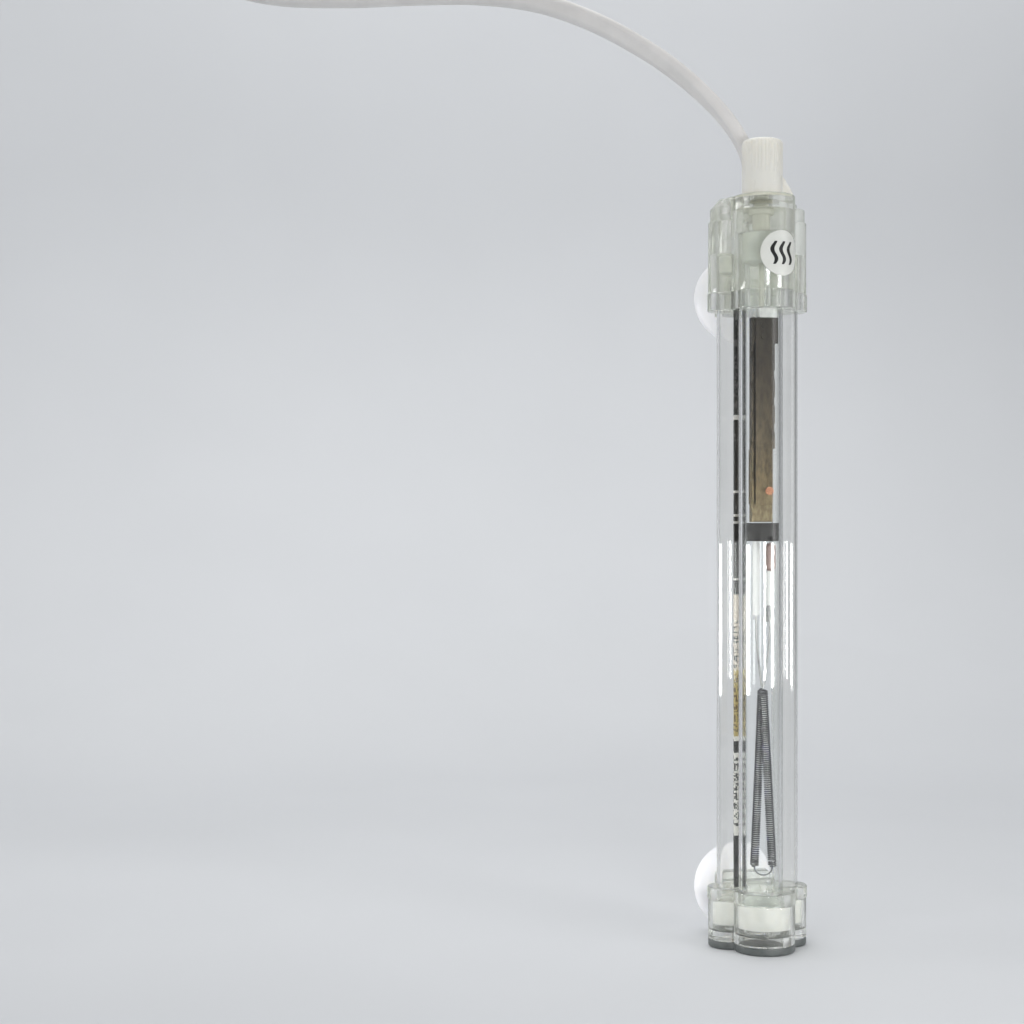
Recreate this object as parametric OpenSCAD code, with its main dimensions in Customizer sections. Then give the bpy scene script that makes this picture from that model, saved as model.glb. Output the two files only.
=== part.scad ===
// Submersible aquarium heater: a main glass tube and two side tubes between two clear lobed caps.
// Origin: axis of the main tube at the underside of the foot.
// +Z runs up to the knob, -Y is the front, +Y faces the wall, -X is left and +X right.

/* [Glass tubes] */
// Outer diameter of the main tube
main_od = 12.2; // [12:0.1:12.3]
// Wall of the main tube
main_wall = 1.0; // [0.9:0.05:1.0]
// Outer diameter of each side tube
side_od = 7.4; // [7.2:0.1:7.4]
// Wall of each side tube
side_wall = 0.7; // [0.6:0.05:0.8]
// Sideways distance of each side tube from the main axis
side_x = 8.8; // [8.8:0.1:9.2]
// Distance of the side tubes behind the main axis
side_y = 5.4; // [5.4:0.1:5.8]

/* [Caps] */
// Height of the top face of the top cap
cap_top = 225.4; // [225.4:0.1:225.4]
// Height of the seam between the top cap and its suction-cup clip
top_seam = 196.9; // [196.5:0.1:197.2]
// Lower edge of the upper suction-cup clip
top_rim = 191.5; // [190.5:0.1:192.5]
// Height of the seam between the bottom cap and its suction-cup clip
low_seam = 14.3; // [14.3:0.1:14.3]
// Upper edge of the lower suction-cup clip
low_rim = 18.0; // [17.6:0.1:19]
// Thickness of the foot plate
foot_t = 2.3; // [1.6:0.1:2.6]
// Radius of the lobe round the main tube
lobe_main = 8.0; // [8:0.1:8.2]
// Radius of the front lobe
lobe_front = 9.2; // [9.1:0.05:9.2]
// Radius of each side lobe
lobe_side = 6.3; // [6.2:0.05:6.5]
// Radius of the back lobe
lobe_back = 6.2; // [6:0.05:6.2]

/* [Knob] */
// Radius of the knob
knob_r = 6.1; // [5.8:0.1:6.2]
// Height of the knob
knob_h = 17.0; // [15:0.5:20]
// Reach of the pointer wing from the knob axis
wing_r = 9.5; // [8:0.1:9.6]
// Number of grip flutes round the knob
flutes = 36; // [18:1:40]

/* [Suction cups] */
// Diameter of each suction cup
cup_d = 27; // [25:0.5:30]
// Height of the upper cup's axis
cup_hi = 198; // [198:0.1:198]
// Height of the lower cup's axis
cup_lo = 13.5; // [13.5:0.1:13.5]
// Distance of the cup rims behind the main axis
cup_rim_y = 29.5; // [29:0.1:31]

/* [Heating coil] */
// Number of turns in each leg of the coil
coil_turns = 34; // [20:1:36]
// Radius of the coil winding
coil_r = 1.15; // [1.1:0.05:1.2]
// Radius of the resistance wire
coil_wire = 0.24; // [0.18:0.01:0.26]

/* [Cord and plug] */
// Thickness of the flat cord
cord_t = 4.4; // [4:0.1:4.4]
// Width of the flat cord
cord_w = 6.0; // [5.6:0.1:6]
// Radius of each plug pin
pin_r = 2.0; // [1.9:0.05:2.1]
// Distance between the plug pins
pin_pitch = 18.6; // [17.5:0.1:19]

/* [Hidden] */
$fn = 96;

// Overshoot of a cut past the face it opens
cut = 1;

// Colours shared by several pieces
clip_clear = [0.8, 0.83, 0.77, 0.6];
glass = [0.85, 0.9, 0.9, 0.35];
stopper_white = [0.88, 0.87, 0.83];
sleeve_white = [0.93, 0.93, 0.91];
cord_white = [0.9, 0.89, 0.88];
cup_clear = [0.9, 0.9, 0.91, 0.9];

// Glass tubes
main_r = main_od / 2;
main_in = main_r - main_wall;
side_r = side_od / 2;
side_in = side_r - side_wall;
fit = 0.1; // Clearance of a glass tube in its socket
tube_low = 8.4;
main_top = 214.5;
side_top = 208;

// Cap lobes
front_y = -1.8;
back_y = 10;

// Inside of the top cap
chamber_top = 221.4;
groove_low = 222.7;
groove_h = 1.2;
recess_r = 7.7;
recess_depth = 0.8;

// Bottom cap
floor_top = 5.0;
seat_low = 7.2;

// Knob and its spindle
spindle_r = 2.0;
knob_low = cap_top + 0.2;

// ---- Placing ----
// On the axis of each side tube
module at_sides(z = 0) {
    for (side = [-1, 1]) translate([side * side_x, side_y, z]) children();
}
// Turns local +Z to the front
module facing_front(x, z) {
    translate([x, 0, z]) rotate([90, 0, 0]) children();
}
// Turns local +Z to the wall
module facing_back(y, z) {
    translate([0, y, z]) rotate([-90, 0, 0]) children();
}

// ---- Outline of the caps: five overlapping lobes ----
module mid_lobes(grow = 0) {
    circle(lobe_main + grow);
    translate([0, front_y]) circle(lobe_front + grow);
    translate([0, back_y]) circle(lobe_back + grow);
}
module outline(grow = 0) {
    mid_lobes(grow);
    at_sides() circle(lobe_side + grow);
}
module tube_sockets(low, main_end, side_end) {
    translate([0, 0, low]) cylinder(r = main_r + fit, h = main_end - low);
    at_sides(low) cylinder(r = side_r + fit, h = side_end - low);
}

// ---- Vector helpers and a closed sweep along a path ----
function unit(v) = v / norm(v);
function lerp(from, to, t) = from + (to - from) * t;
// Catmull-Rom curve between from and to
function curve(before, from, to, after, t) = 0.5 * (2 * from + (to - before) * t
    + (2 * before - 5 * from + 4 * to - after) * t * t
    + (3 * from - before - 3 * to + after) * t * t * t);
// Smooth curve through the points, with the given steps in each span
function smooth(points, steps) = let (last = len(points) - 1) [
    for (i = [0 : last - 1]) for (k = [0 : steps - 1])
        curve(points[max(i - 1, 0)], points[i], points[i + 1], points[min(i + 2, last)], k / steps),
    points[last]];
function heading(path, i) = unit(path[min(i + 1, len(path) - 1)] - path[max(i - 1, 0)]);
// Section points in the plane across the path at point i, turned by an angle
function ring(path, i, section, ref, angle) =
    let (along = heading(path, i), across = unit(cross(ref, along)), third = cross(along, across))
    [for (q = section) path[i]
        + across * (q[0] * cos(angle) - q[1] * sin(angle))
        + third * (q[0] * sin(angle) + q[1] * cos(angle))];
// turn holds one angle for each path point
module sweep(path, section, ref, turn) {
    n = len(section);
    rings = len(path);
    points = [for (i = [0 : rings - 1]) each ring(path, i, section, ref, turn[i])];
    faces = [
        [for (j = [0 : n - 1]) j],
        for (i = [0 : rings - 2]) for (j = [0 : n - 1])
            let (k = (j + 1) % n, here = i * n, next = (i + 1) * n)
            each [[here + j, next + j, next + k], [here + j, next + k, here + k]],
        [for (j = [n - 1 : -1 : 0]) (rings - 1) * n + j]
    ];
    polyhedron(points, faces, convexity = 8);
}
module wire(path, r, sides, ref) {
    section = [for (j = [0 : sides - 1]) r * [cos(360 * j / sides), sin(360 * j / sides)]];
    sweep(path, section, ref, [for (point = path) 0]);
}

// ---- Caps ----
// Outside of the top cap, with lower side lobes
module top_cap_body() {
    shoulder_y = 4;
    shoulder_r = 11;
    step_z = 218.4;
    side_lobe_top = 222.5;
    upper_lobe = lobe_side - 0.5; // Side lobe radius above the step
    overlap = 1;
    crown_r = 3.0;
    boss_r = 3.45;
    boss_top_r = 1.2;
    boss_low = side_lobe_top - 0.5;
    boss_h = 2.0;
    translate([0, 0, top_seam]) linear_extrude(cap_top - top_seam) {
        mid_lobes();
        // Broad shoulder that fills the grooves beside the front lobe
        translate([0, shoulder_y]) circle(shoulder_r);
    }
    translate([0, 0, top_seam]) linear_extrude(step_z - top_seam) at_sides() circle(lobe_side);
    translate([0, 0, step_z - overlap]) linear_extrude(side_lobe_top - step_z + overlap)
        at_sides() circle(upper_lobe);
    // Bevelled crown over the left lobe
    translate([-side_x, side_y, side_lobe_top])
        cylinder(r1 = upper_lobe, r2 = crown_r, h = cap_top - side_lobe_top);
    // Low boss with a tapered top over the right lobe
    translate([side_x, side_y, boss_low]) cylinder(r = boss_r, h = boss_h);
    translate([side_x, side_y, boss_low + boss_h]) cylinder(r1 = boss_r, r2 = boss_top_r, h = 1.1);
}
module top_cap() {
    chamber_low = main_top + 0.1;
    passage_w = 6.8;
    color([0.78, 0.82, 0.74, 0.6]) difference() {
        top_cap_body();
        tube_sockets(top_seam - cut, chamber_low, side_top + 0.6);
        // Wiring chamber over the main tube's mouth, joined to the gland
        translate([0, 0, chamber_low]) linear_extrude(chamber_top - chamber_low) {
            circle(6.6);
            translate([-passage_w / 2, 0]) square([passage_w, back_y]);
            translate([0, back_y]) circle(4.1);
        }
        // Spindle bore and O-ring groove
        cylinder(r = spindle_r + 0.05, h = cap_top + cut);
        translate([0, 0, groove_low]) cylinder(r = 3.2, h = groove_h);
        // Gland bore
        translate([0, back_y, chamber_top - cut]) cylinder(r = 3.3, h = 8);
        // Recess for the scale ring
        translate([0, 0, cap_top - recess_depth]) cylinder(r = recess_r, h = 2);
    }
}
module bottom_cap() {
    wall = 1.2;
    opening_r = 5.8;
    post_r = 1.3;
    post_low = floor_top - 0.5;
    posts = [[side_x, side_y], [-side_x, side_y], [0, -8.2], [0, back_y]];
    color([0.8, 0.82, 0.78, 0.6]) {
        difference() {
            translate([0, 0, foot_t]) linear_extrude(low_seam - foot_t) outline();
            translate([0, 0, floor_top]) linear_extrude(low_seam) outline(-wall);
            // Round opening in the floor under the main tube
            cylinder(r = opening_r, h = floor_top + cut);
        }
        // Posts that carry the tube seat
        for (post = posts) translate([post[0], post[1], post_low])
            cylinder(r = post_r, h = seat_low - post_low);
    }
}
module foot_plate() {
    color([0.27, 0.29, 0.29]) linear_extrude(foot_t) outline();
}

// ---- Suction cups and their clips ----
cup_neck_r = 3.0;
cup_head_r = 4.2;

// Clip that rings the three tubes and carries a suction cup on its back plate
module cup_clip(low, high, cup_z) {
    width = 18;
    arm_y = 12;
    plate_y = 16.5;
    plate_h = 13;
    back = 21.4;
    difference() {
        union() {
            translate([0, 0, low]) linear_extrude(high - low) outline(0.25);
            translate([-width / 2, arm_y, low]) cube([width, back - arm_y, high - low]);
            translate([-width / 2, plate_y, cup_z - plate_h / 2])
                cube([width, back - plate_y, plate_h]);
        }
        tube_sockets(low - cut, high + cut, high + cut);
        // Bore the cup's neck turns in, and the pocket for the neck's head
        facing_back(plate_y - 0.3, cup_z) {
            cylinder(r = cup_neck_r + 0.05, h = 20);
            cylinder(r = cup_head_r + 0.2, h = 2.0);
        }
    }
}
module upper_cup_clip() {
    color(clip_clear) cup_clip(top_rim, top_seam, cup_hi);
}
module lower_cup_clip() {
    color(clip_clear) cup_clip(low_seam, low_rim, cup_lo);
}
module suction_cup(z) {
    rim_r = cup_d / 2;
    hollow_r = rim_r - 1.3;
    hollow_depth = 3.2;
    head_y = 16.6;
    neck_y = 18.1;
    collar_y = 21.5;
    collar_r = 4.6;
    bell_y = 22.6;
    roundness = 0.75; // Share of quarter ellipse in the bell; the rest is a straight cone
    steps = 14;
    // Columns: radius, distance behind the main axis
    profile = [
        [0, head_y], [cup_head_r, head_y], [cup_head_r, neck_y], [cup_neck_r, neck_y],
        [cup_neck_r, collar_y], [collar_r, collar_y], [collar_r, bell_y],
        for (i = [1 : steps]) let (t = i / steps) [
            lerp(collar_r, rim_r, t),
            lerp(bell_y, cup_rim_y, roundness * (1 - sqrt(1 - t * t)) + (1 - roundness) * t)],
        for (i = [steps : -1 : 0]) let (a = 90 * i / steps)
            [hollow_r * sin(a), cup_rim_y - hollow_depth * cos(a)]
    ];
    facing_back(0, z) rotate_extrude() polygon(profile);
}
module suction_cup_upper() {
    color(cup_clear) suction_cup(cup_hi);
}
module suction_cup_lower() {
    color(cup_clear) suction_cup(cup_lo);
}

// ---- Glass ----
// Test-tube shape: open at the top, round bottom
module test_tube(r, r_in, high) {
    centre = tube_low + r;
    difference() {
        union() {
            translate([0, 0, centre]) cylinder(r = r, h = high - centre);
            translate([0, 0, centre]) sphere(r);
        }
        translate([0, 0, centre]) cylinder(r = r_in, h = high - tube_low);
        translate([0, 0, centre]) sphere(r_in);
    }
}
module main_tube() {
    color(glass) test_tube(main_r, main_in, main_top);
}
module left_side_tube() {
    color(glass) translate([-side_x, side_y, 0]) test_tube(side_r, side_in, side_top);
}
module right_side_tube() {
    color(glass) translate([side_x, side_y, 0]) test_tube(side_r, side_in, side_top);
}
// Round-bottomed hollow a tube sits in
module seat_hollow(tube_r, h) {
    r = tube_r + 0.05;
    cylinder(r = r, h = h);
    sphere(r);
}
module tube_seat() {
    color([0.9, 0.9, 0.88]) difference() {
        translate([0, 0, seat_low]) linear_extrude(low_seam - seat_low) outline(-1.25);
        translate([0, 0, tube_low + main_r]) seat_hollow(main_r, 10);
        at_sides(tube_low + side_r) seat_hollow(side_r, 12);
    }
}

// Places of the two supply leads in the main tube's plug
supply_x = 3.1;
supply_y = 2.4;

module main_tube_plug() {
    low = 206;
    bore_low = 200;
    bore_h = 20;
    color(stopper_white) difference() {
        translate([0, 0, low]) cylinder(r = main_in, h = main_top - low);
        translate([0, 0, bore_low]) cylinder(r = 0.9, h = bore_h);
        for (side = [-1, 1]) translate([side * supply_x, supply_y, bore_low])
            cylinder(r = 0.65, h = bore_h);
    }
}
module side_tube_plugs() {
    low = 203;
    color(stopper_white) at_sides(low) cylinder(r = side_in, h = side_top - low);
}

// ---- Knob and adjuster ----
// Knob profile with a rounded top edge
module knob_profile() {
    edge = 1.5;
    square([knob_r, knob_h - edge]);
    square([knob_r - edge, knob_h]);
    intersection() {
        translate([knob_r - edge, knob_h - edge]) circle(edge);
        square([knob_r, knob_h]);
    }
}
// Pointer wing that reaches right and slopes down to the scale
module knob_wing() {
    thickness = 3;
    root = 3;
    high = knob_low + 6;
    rotate([90, 0, 0]) translate([0, 0, -thickness / 2]) linear_extrude(thickness)
        polygon([[root, knob_low], [wing_r, knob_low], [wing_r, knob_low + 0.5],
            [knob_r - 0.1, high], [root, high]]);
}
module temperature_knob() {
    hollow_low = knob_low - cut;
    hollow_h = 11;
    skirt_wall = 1.4;
    socket_wall = 1.2;
    dish_r = 3.9;
    dish_depth = 0.9;
    flute_r = 0.36;
    flute_x = knob_r + 0.22;
    flute_low = knob_low + 6.4;
    color([0.86, 0.85, 0.81]) difference() {
        union() {
            translate([0, 0, knob_low]) rotate_extrude() knob_profile();
            knob_wing();
        }
        // Shallow dish in the top
        translate([0, 0, knob_low + knob_h - dish_depth]) cylinder(r = dish_r, h = 2);
        // Socket for the spindle
        translate([0, 0, hollow_low]) cylinder(r = spindle_r + 0.01, h = hollow_h);
        // Hollow skirt
        translate([0, 0, hollow_low]) difference() {
            cylinder(r = knob_r - skirt_wall, h = hollow_h);
            translate([0, 0, -cut]) cylinder(r = spindle_r + socket_wall, h = hollow_h + 2 * cut);
        }
        // Grip flutes
        for (i = [0 : flutes - 1]) rotate([0, 0, (i + 0.5) * 360 / flutes])
            translate([flute_x, 0, flute_low]) cylinder(r = flute_r, h = knob_h, $fn = 24);
    }
}
module knob_spindle() {
    collar_low = chamber_top - 1.6;
    nut_low = main_top + 0.2;
    color([0.8, 0.8, 0.76]) difference() {
        union() {
            translate([0, 0, collar_low]) cylinder(r = spindle_r, h = knob_low + 8.8 - collar_low);
            translate([0, 0, collar_low]) cylinder(r = 3.4, h = 1.5);
            translate([0, 0, nut_low]) cylinder(r = 2.4, h = collar_low - nut_low);
        }
        // Nut bore that drives the adjuster pin
        translate([0, 0, main_top - cut]) cylinder(r = 0.8, h = 6.6);
    }
}
module spindle_o_ring() {
    cord_r = 0.57;
    color([0.15, 0.15, 0.15]) translate([0, 0, groove_low + groove_h / 2])
        rotate_extrude() translate([2.62, 0]) circle(cord_r);
}
module scale_ring() {
    through = 300; // Cuts run up from the origin past the ring
    color([0.85, 0.35, 0.42]) difference() {
        translate([0, 0, cap_top - recess_depth]) cylinder(r = recess_r - 0.02, h = recess_depth);
        cylinder(r = 2.4, h = through);
        translate([0, back_y, 0]) cylinder(r = 3.45, h = through);
    }
}
module adjuster_pin() {
    r = 0.75;
    low = 193.2;
    high = 218.8;
    tip_h = 0.5;
    color([0.9, 0.9, 0.88]) {
        translate([0, 0, low]) cylinder(r = r, h = high - low);
        translate([0, 0, low - tip_h]) cylinder(r1 = 0.4, r2 = r, h = tip_h);
    }
}

// ---- Thermostat ----
frame_low = 128;
frame_top = 189.2;
rivet_heights = [183.6, 187];
contact_x = 1.5;
contact_z = 137.3;
strip_front = 1.9; // Distance of the bimetal strip's front face before the main axis
strip_t = 0.5;

module at_rivets() {
    for (z = rivet_heights) facing_front(0, z) children();
}
module at_contact() {
    facing_front(contact_x, contact_z) children();
}
module hole_through(r) {
    cylinder(r = r, h = 10, center = true);
}
module ceramic_block() {
    color([0.93, 0.93, 0.92]) translate([-1.4, -1.7, frame_top]) cube([5.6, 3.4, 3.0]);
}
module thermostat_frame() {
    half_w = 3.6;
    back = 1.8;
    back_t = 0.6;
    flange_t = 0.5;
    left_front = -1.6;
    right_front = -1.1;
    right_low = 150;
    shelf_low = 181.5;
    hole_r = 0.62;
    color([0.33, 0.28, 0.22]) difference() {
        union() {
            // Back plate, left flange and shorter right flange
            translate([-half_w, back - back_t, frame_low])
                cube([2 * half_w, back_t, frame_top - frame_low]);
            translate([-half_w, left_front, frame_low])
                cube([flange_t, back - left_front, frame_top - frame_low]);
            translate([half_w - flange_t, right_front, right_low])
                cube([flange_t, back - right_front, frame_top - right_low]);
            // Shelf that carries the strip's riveted end
            translate([-half_w, -1.3, shelf_low]) cube([8.2, 2.6, frame_top - shelf_low]);
        }
        // Notches in the left and right flanges
        for (z = [132 : 9 : 177]) translate([-4, -2, z]) cube([1.2, 1.6, 2.2]);
        for (z = [155 : 8 : 175]) translate([2.6, -2, z]) cube([1.5, 1.5, 2.4]);
        at_rivets() hole_through(hole_r);
        at_contact() hole_through(hole_r);
    }
}
module frame_rivets() {
    back = -2.3;
    front = 2.0;
    head_r = 1.1;
    head_h = 0.5;
    color([0.72, 0.45, 0.3]) at_rivets() {
        translate([0, 0, back]) cylinder(r = 0.6, h = front - back);
        for (z = [front, back]) translate([0, 0, z]) cylinder(r = head_r, h = head_h);
    }
}
module bimetal_strip() {
    width = 5.2;
    color([0.42, 0.36, 0.26]) difference() {
        translate([-width / 2, -strip_front, 133]) cube([width, strip_t, 56]);
        at_rivets() hole_through(0.9);
        at_contact() hole_through(0.62);
    }
}
module moving_contact() {
    disc_h = 0.5;
    rear = strip_front - strip_t - disc_h;
    color([0.8, 0.48, 0.3]) at_contact() {
        translate([0, 0, strip_front]) cylinder(r = 1.2, h = disc_h);
        translate([0, 0, rear]) cylinder(r = 0.6, h = strip_front - rear);
        translate([0, 0, rear]) cylinder(r = 1.1, h = disc_h);
    }
}
module fixed_contact() {
    color([0.8, 0.78, 0.72]) at_contact() {
        translate([0, 0, -1.2]) cylinder(r = 1.1, h = 1.7);
        translate([0, 0, -2.2]) cylinder(r = 0.6, h = 1.2);
    }
}
module snap_magnet() {
    color([0.3, 0.3, 0.32]) translate([-1.6, -0.4, 141]) cube([3.2, 1.6, 5]);
}
module contact_leaf() {
    leaf_h = 16.2;
    color([0.2, 0.18, 0.16]) translate([-3.95, -1.4, 133.4]) {
        cube([0.25, 2.6, leaf_h]);
        translate([0, 0, leaf_h]) cube([0.35, 1.2, 1.2]);
    }
}

// ---- Heater leads ----
left_lead_x = -1.95;
fuse_x = 2.5;
right_sleeve_x = 2.4;
crimp_x = 2.3;
crimp_low = 98;
crimp_top = 103;
insulator_low = 122.3;
lead_top = 127.5;

module insulating_plug() {
    color([0.1, 0.1, 0.1]) difference() {
        translate([0, 0, insulator_low]) cylinder(r = main_in - 0.2, h = 5.4);
        for (x = [left_lead_x, fuse_x]) translate([x, 0, 120]) cylinder(r = 0.42, h = 10);
        // Uneven lower edge where the fibre is folded in
        for (a = [20 : 65 : 340]) rotate([0, 0, a])
            translate([3.6, -0.8, insulator_low - 0.4]) cube([3, 1.6, 1.2 + 0.6 * sin(3 * a)]);
    }
}
module left_lead_sleeve() {
    low = 100;
    color(sleeve_white) translate([left_lead_x, 0, low]) difference() {
        cylinder(r = 1.05, h = insulator_low - low);
        translate([0, 0, -cut]) cylinder(r = 0.45, h = 30);
    }
}
module thermal_fuse() {
    r = 1.6;
    end_r = 0.9;
    low = 114.2;
    body_h = 6.6;
    end_h = 0.8;
    color([0.72, 0.55, 0.48]) translate([fuse_x, 0, 0]) {
        translate([0, 0, low]) cylinder(r = r, h = body_h);
        translate([0, 0, low - end_h]) cylinder(r1 = end_r, r2 = r, h = end_h);
        translate([0, 0, low + body_h]) cylinder(r1 = r, r2 = end_r, h = end_h);
    }
}
module right_lead_sleeve() {
    color(sleeve_white) translate([right_sleeve_x, 0, crimp_top]) difference() {
        cylinder(r = 1.4, h = 10.3);
        translate([0, 0, -cut]) cylinder(r = 0.5, h = 13);
    }
}
module lead_crimp() {
    color([0.62, 0.62, 0.62]) translate([crimp_x, 0, crimp_low]) difference() {
        cylinder(r = 1.3, h = crimp_top - crimp_low);
        translate([0, 0, -cut]) cylinder(r = 0.45, h = 8);
        // Crimped flats
        for (side = [-1, 1]) translate([-2, side * 1.55 - 0.5, 1.6]) cube([4, 1, 1.8]);
    }
}
module heater_leads() {
    steps = 5;
    above_coil = [0, 0, 0.4];
    left = smooth([[left_lead_x, 0, lead_top], [left_lead_x, 0, 118], [left_lead_x, 0, 108],
        [left_lead_x, 0, 99.5], [-1.7, 0.1, 92], [-0.8, 0.9, 85], coil_head(-1) + above_coil], steps);
    right = smooth([[right_sleeve_x, 0, 113.2], [right_sleeve_x, 0, 108], [2.35, 0, crimp_top],
        [crimp_x, 0, crimp_low], [2.1, -0.1, 92], [1.0, -0.9, 85], coil_head(1) + above_coil], steps);
    fuse_lead_low = 121.7;
    color([0.7, 0.68, 0.64]) {
        for (path = [left, right]) wire(path, 0.32, 10, [0, 1, 0]);
        translate([fuse_x, 0, fuse_lead_low]) cylinder(r = 0.35, h = lead_top - fuse_lead_low);
    }
}

// ---- Heating coil: a hairpin of two wound legs joined by a bend at the bottom ----
coil_low = 24.5;
coil_high = 78;
bend = [2.65, 0.5, 2.4]; // Half-width, half-depth and drop of the bend
bend_x = 0.3;
// Ends of a leg's axis; side is -1 for the left leg and 1 for the right
function coil_foot(side) = [bend_x + side * bend[0], -side * bend[1], coil_low];
function coil_head(side) = [-side * 0.24, -side * 1.55, coil_high];
// Point i of n on a winding, which opens out from its axis at both ends
function winding(from, to, i, n) = let (
    t = i / n,
    a = 360 * coil_turns * t,
    opening = min(1, min(i, n - i) / 10)
) lerp(from, to, t) + coil_r * opening * [cos(a), sin(a), 0];

module heating_coil() {
    n = coil_turns * 11;
    path = [
        for (i = [0 : n]) winding(coil_head(-1), coil_foot(-1), i, n),
        for (k = [1 : 5]) let (a = 180 + 180 * k / 6)
            [bend_x + bend[0] * cos(a), -bend[1] * cos(a), coil_low + bend[2] * sin(a)],
        for (i = [0 : n]) winding(coil_foot(1), coil_head(1), i, n)
    ];
    color([0.4, 0.41, 0.44]) wire(path, coil_wire, 5, [0.02, 1, 0.01]);
}
module coil_core(side) {
    inset = 0.04; // Share of the leg left bare at each end
    foot = coil_foot(side);
    leg = coil_head(side) - foot;
    translate(foot + leg * inset)
        rotate([0, acos(leg[2] / norm(leg)), atan2(leg[1], leg[0])])
            cylinder(r = 0.72, h = norm(leg) * (1 - 2 * inset));
}
module coil_cores() {
    color([0.9, 0.89, 0.86]) for (side = [-1, 1]) coil_core(side);
}

// ---- Film and sticker ----
// Curved film inside the left side tube
module label_film() {
    thickness = 0.15;
    film_r = side_in - 0.1;
    color([0.12, 0.12, 0.12]) translate([-side_x, side_y, 18]) rotate([0, 0, -76])
        rotate_extrude(angle = 120) translate([film_r - thickness, 0]) square([thickness, 182]);
}
// Point on the front lobe at an arc length from the sticker's centre, out from the surface
function skin(arc, out) = let (a = -72 + arc / lobe_front * 180 / PI, r = lobe_front + out)
    [r * cos(a), front_y + r * sin(a)];
// Round sticker bent to the front lobe: an outer and an inner sheet of concentric rings
module rating_sticker() {
    radius = 6.7;
    centre_z = 207.4;
    outer = 0.2;
    inner = 0.06;
    rings = 6;
    sectors = 48;
    function at(i, j, out) =
        let (r = radius * i / rings, a = 360 * j / sectors, q = skin(r * cos(a), out))
        [q[0], q[1], centre_z + r * sin(a)];
    points = [for (out = [outer, inner]) each [
        at(0, 0, out),
        for (i = [1 : rings]) for (j = [0 : sectors - 1]) at(i, j, out)]];
    h = 1 + rings * sectors; // Index of the inner sheet's first point
    function id(i, j) = i == 0 ? 0 : 1 + (i - 1) * sectors + (j % sectors);
    faces = [
        for (j = [0 : sectors - 1])
            each [[0, id(1, j + 1), id(1, j)], [h, h + id(1, j), h + id(1, j + 1)]],
        for (i = [1 : rings - 1]) for (j = [0 : sectors - 1])
            let (a = id(i, j), b = id(i, j + 1), c = id(i + 1, j + 1), d = id(i + 1, j))
            each [[a, b, c], [a, c, d], [h + a, h + c, h + b], [h + a, h + d, h + c]],
        for (j = [0 : sectors - 1]) let (a = id(rings, j), b = id(rings, j + 1))
            each [[a, b, h + b], [a, h + b, h + a]]
    ];
    color([0.92, 0.92, 0.9]) polyhedron(points, faces, convexity = 4);
}

// ---- Cord, gland and plug ----
cord_flat = cord_w - cord_t;
plug_z = 300;
pins_x = -214;
pin_root_r = pin_r - 0.2;

// Points the cord passes through, from the gland to the plug. Columns: x, z
cord_route = [
    [0, 219.5], [0, 224], [0, 229], [-0.6, 235], [-2.4, 241.5], [-6.4, 248.2],
    [-12.6, 255.2], [-22.4, 263.6], [-34, 271.1], [-50, 278.8], [-67, 283.7],
    [-85, 285.1], [-104, 284.2], [-124, 282.6], [-144, 282.4], [-158, 285.2],
    [-168, 291.2], [-177, 297.6], [-185, plug_z], [-190, plug_z], [-193, plug_z], [-200, plug_z]
];
// Route of each supply lead down from the cord. Columns: distance from the middle, y, z
supply_route = [
    [1.1, back_y, 219.4], [1.3, 9.4, 218.2], [2.2, 7.4, 217.2], [3.0, 4.6, 216.6],
    [supply_x, 2.8, 215.8], [supply_x, supply_y, 214], [supply_x, supply_y, 208],
    [supply_x, supply_y, 202], [supply_x, supply_y, 196], [3.0, 2.5, 189.4]
];

// Flat cord section: two round ends joined by a straight middle
module cord_section(grow) {
    square([cord_t + 2 * grow, cord_flat], center = true);
    for (side = [-1, 1]) translate([0, side * cord_flat / 2]) circle(cord_t / 2 + grow);
}
// Turns local +Z left along the plug
module along_plug(x, y = 0) {
    translate([x, back_y + y, plug_z]) rotate([0, -90, 0]) children();
}
module at_pins() {
    for (side = [-1, 1]) along_plug(pins_x, side * pin_pitch / 2) children();
}
module cable_gland() {
    flange_h = 1.5;
    color([0.86, 0.85, 0.82]) translate([0, back_y, 0]) difference() {
        union() {
            translate([0, 0, chamber_top - flange_h]) cylinder(r = 3.95, h = flange_h);
            translate([0, 0, chamber_top - 0.5]) cylinder(r = 3.28, h = cap_top - chamber_top + 0.9);
        }
        translate([0, 0, chamber_top - 3]) linear_extrude(12) cord_section(0.03);
    }
}
module power_cord() {
    path = smooth([for (point = cord_route) [point[0], back_y, point[1]]], 4);
    sides = 18;
    section = [for (j = [0 : sides - 1]) let (a = 360 * (j + 0.5) / sides)
        [cord_t / 2 * cos(a), cord_t / 2 * sin(a) + sign(sin(a)) * cord_flat / 2]];
    // The cord eases through a quarter turn on its way from the gland
    turn_start = 16;
    turn_steps = 26;
    turn = [for (i = [0 : len(path) - 1]) let (t = min(1, max(0, (i - turn_start) / turn_steps)))
        90 * t * t * (3 - 2 * t)];
    color(cord_white) sweep(path, section, [0, 1, 0], turn);
}
module supply_leads() {
    color([0.85, 0.85, 0.85]) for (side = [-1, 1])
        wire(smooth([for (q = supply_route) [side * q[0], q[1], q[2]]], 4), 0.6, 12, [1, 0, 0.02]);
}
module plug_body() {
    grip_t = 13.4;
    grip_flat = 18;
    color(cord_white) difference() {
        union() {
            // Strain relief that narrows towards the cord
            along_plug(-192) cylinder(r1 = 4.4, r2 = 6.2, h = 14);
            // Grip and face
            along_plug(-204) linear_extrude(22) {
                square([grip_t, grip_flat], center = true);
                for (side = [-1, 1]) translate([0, side * grip_flat / 2]) circle(grip_t / 2);
            }
        }
        along_plug(-190) linear_extrude(10.2) rotate(90) cord_section(0.05);
        at_pins() cylinder(r = pin_root_r, h = 20);
    }
}
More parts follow.
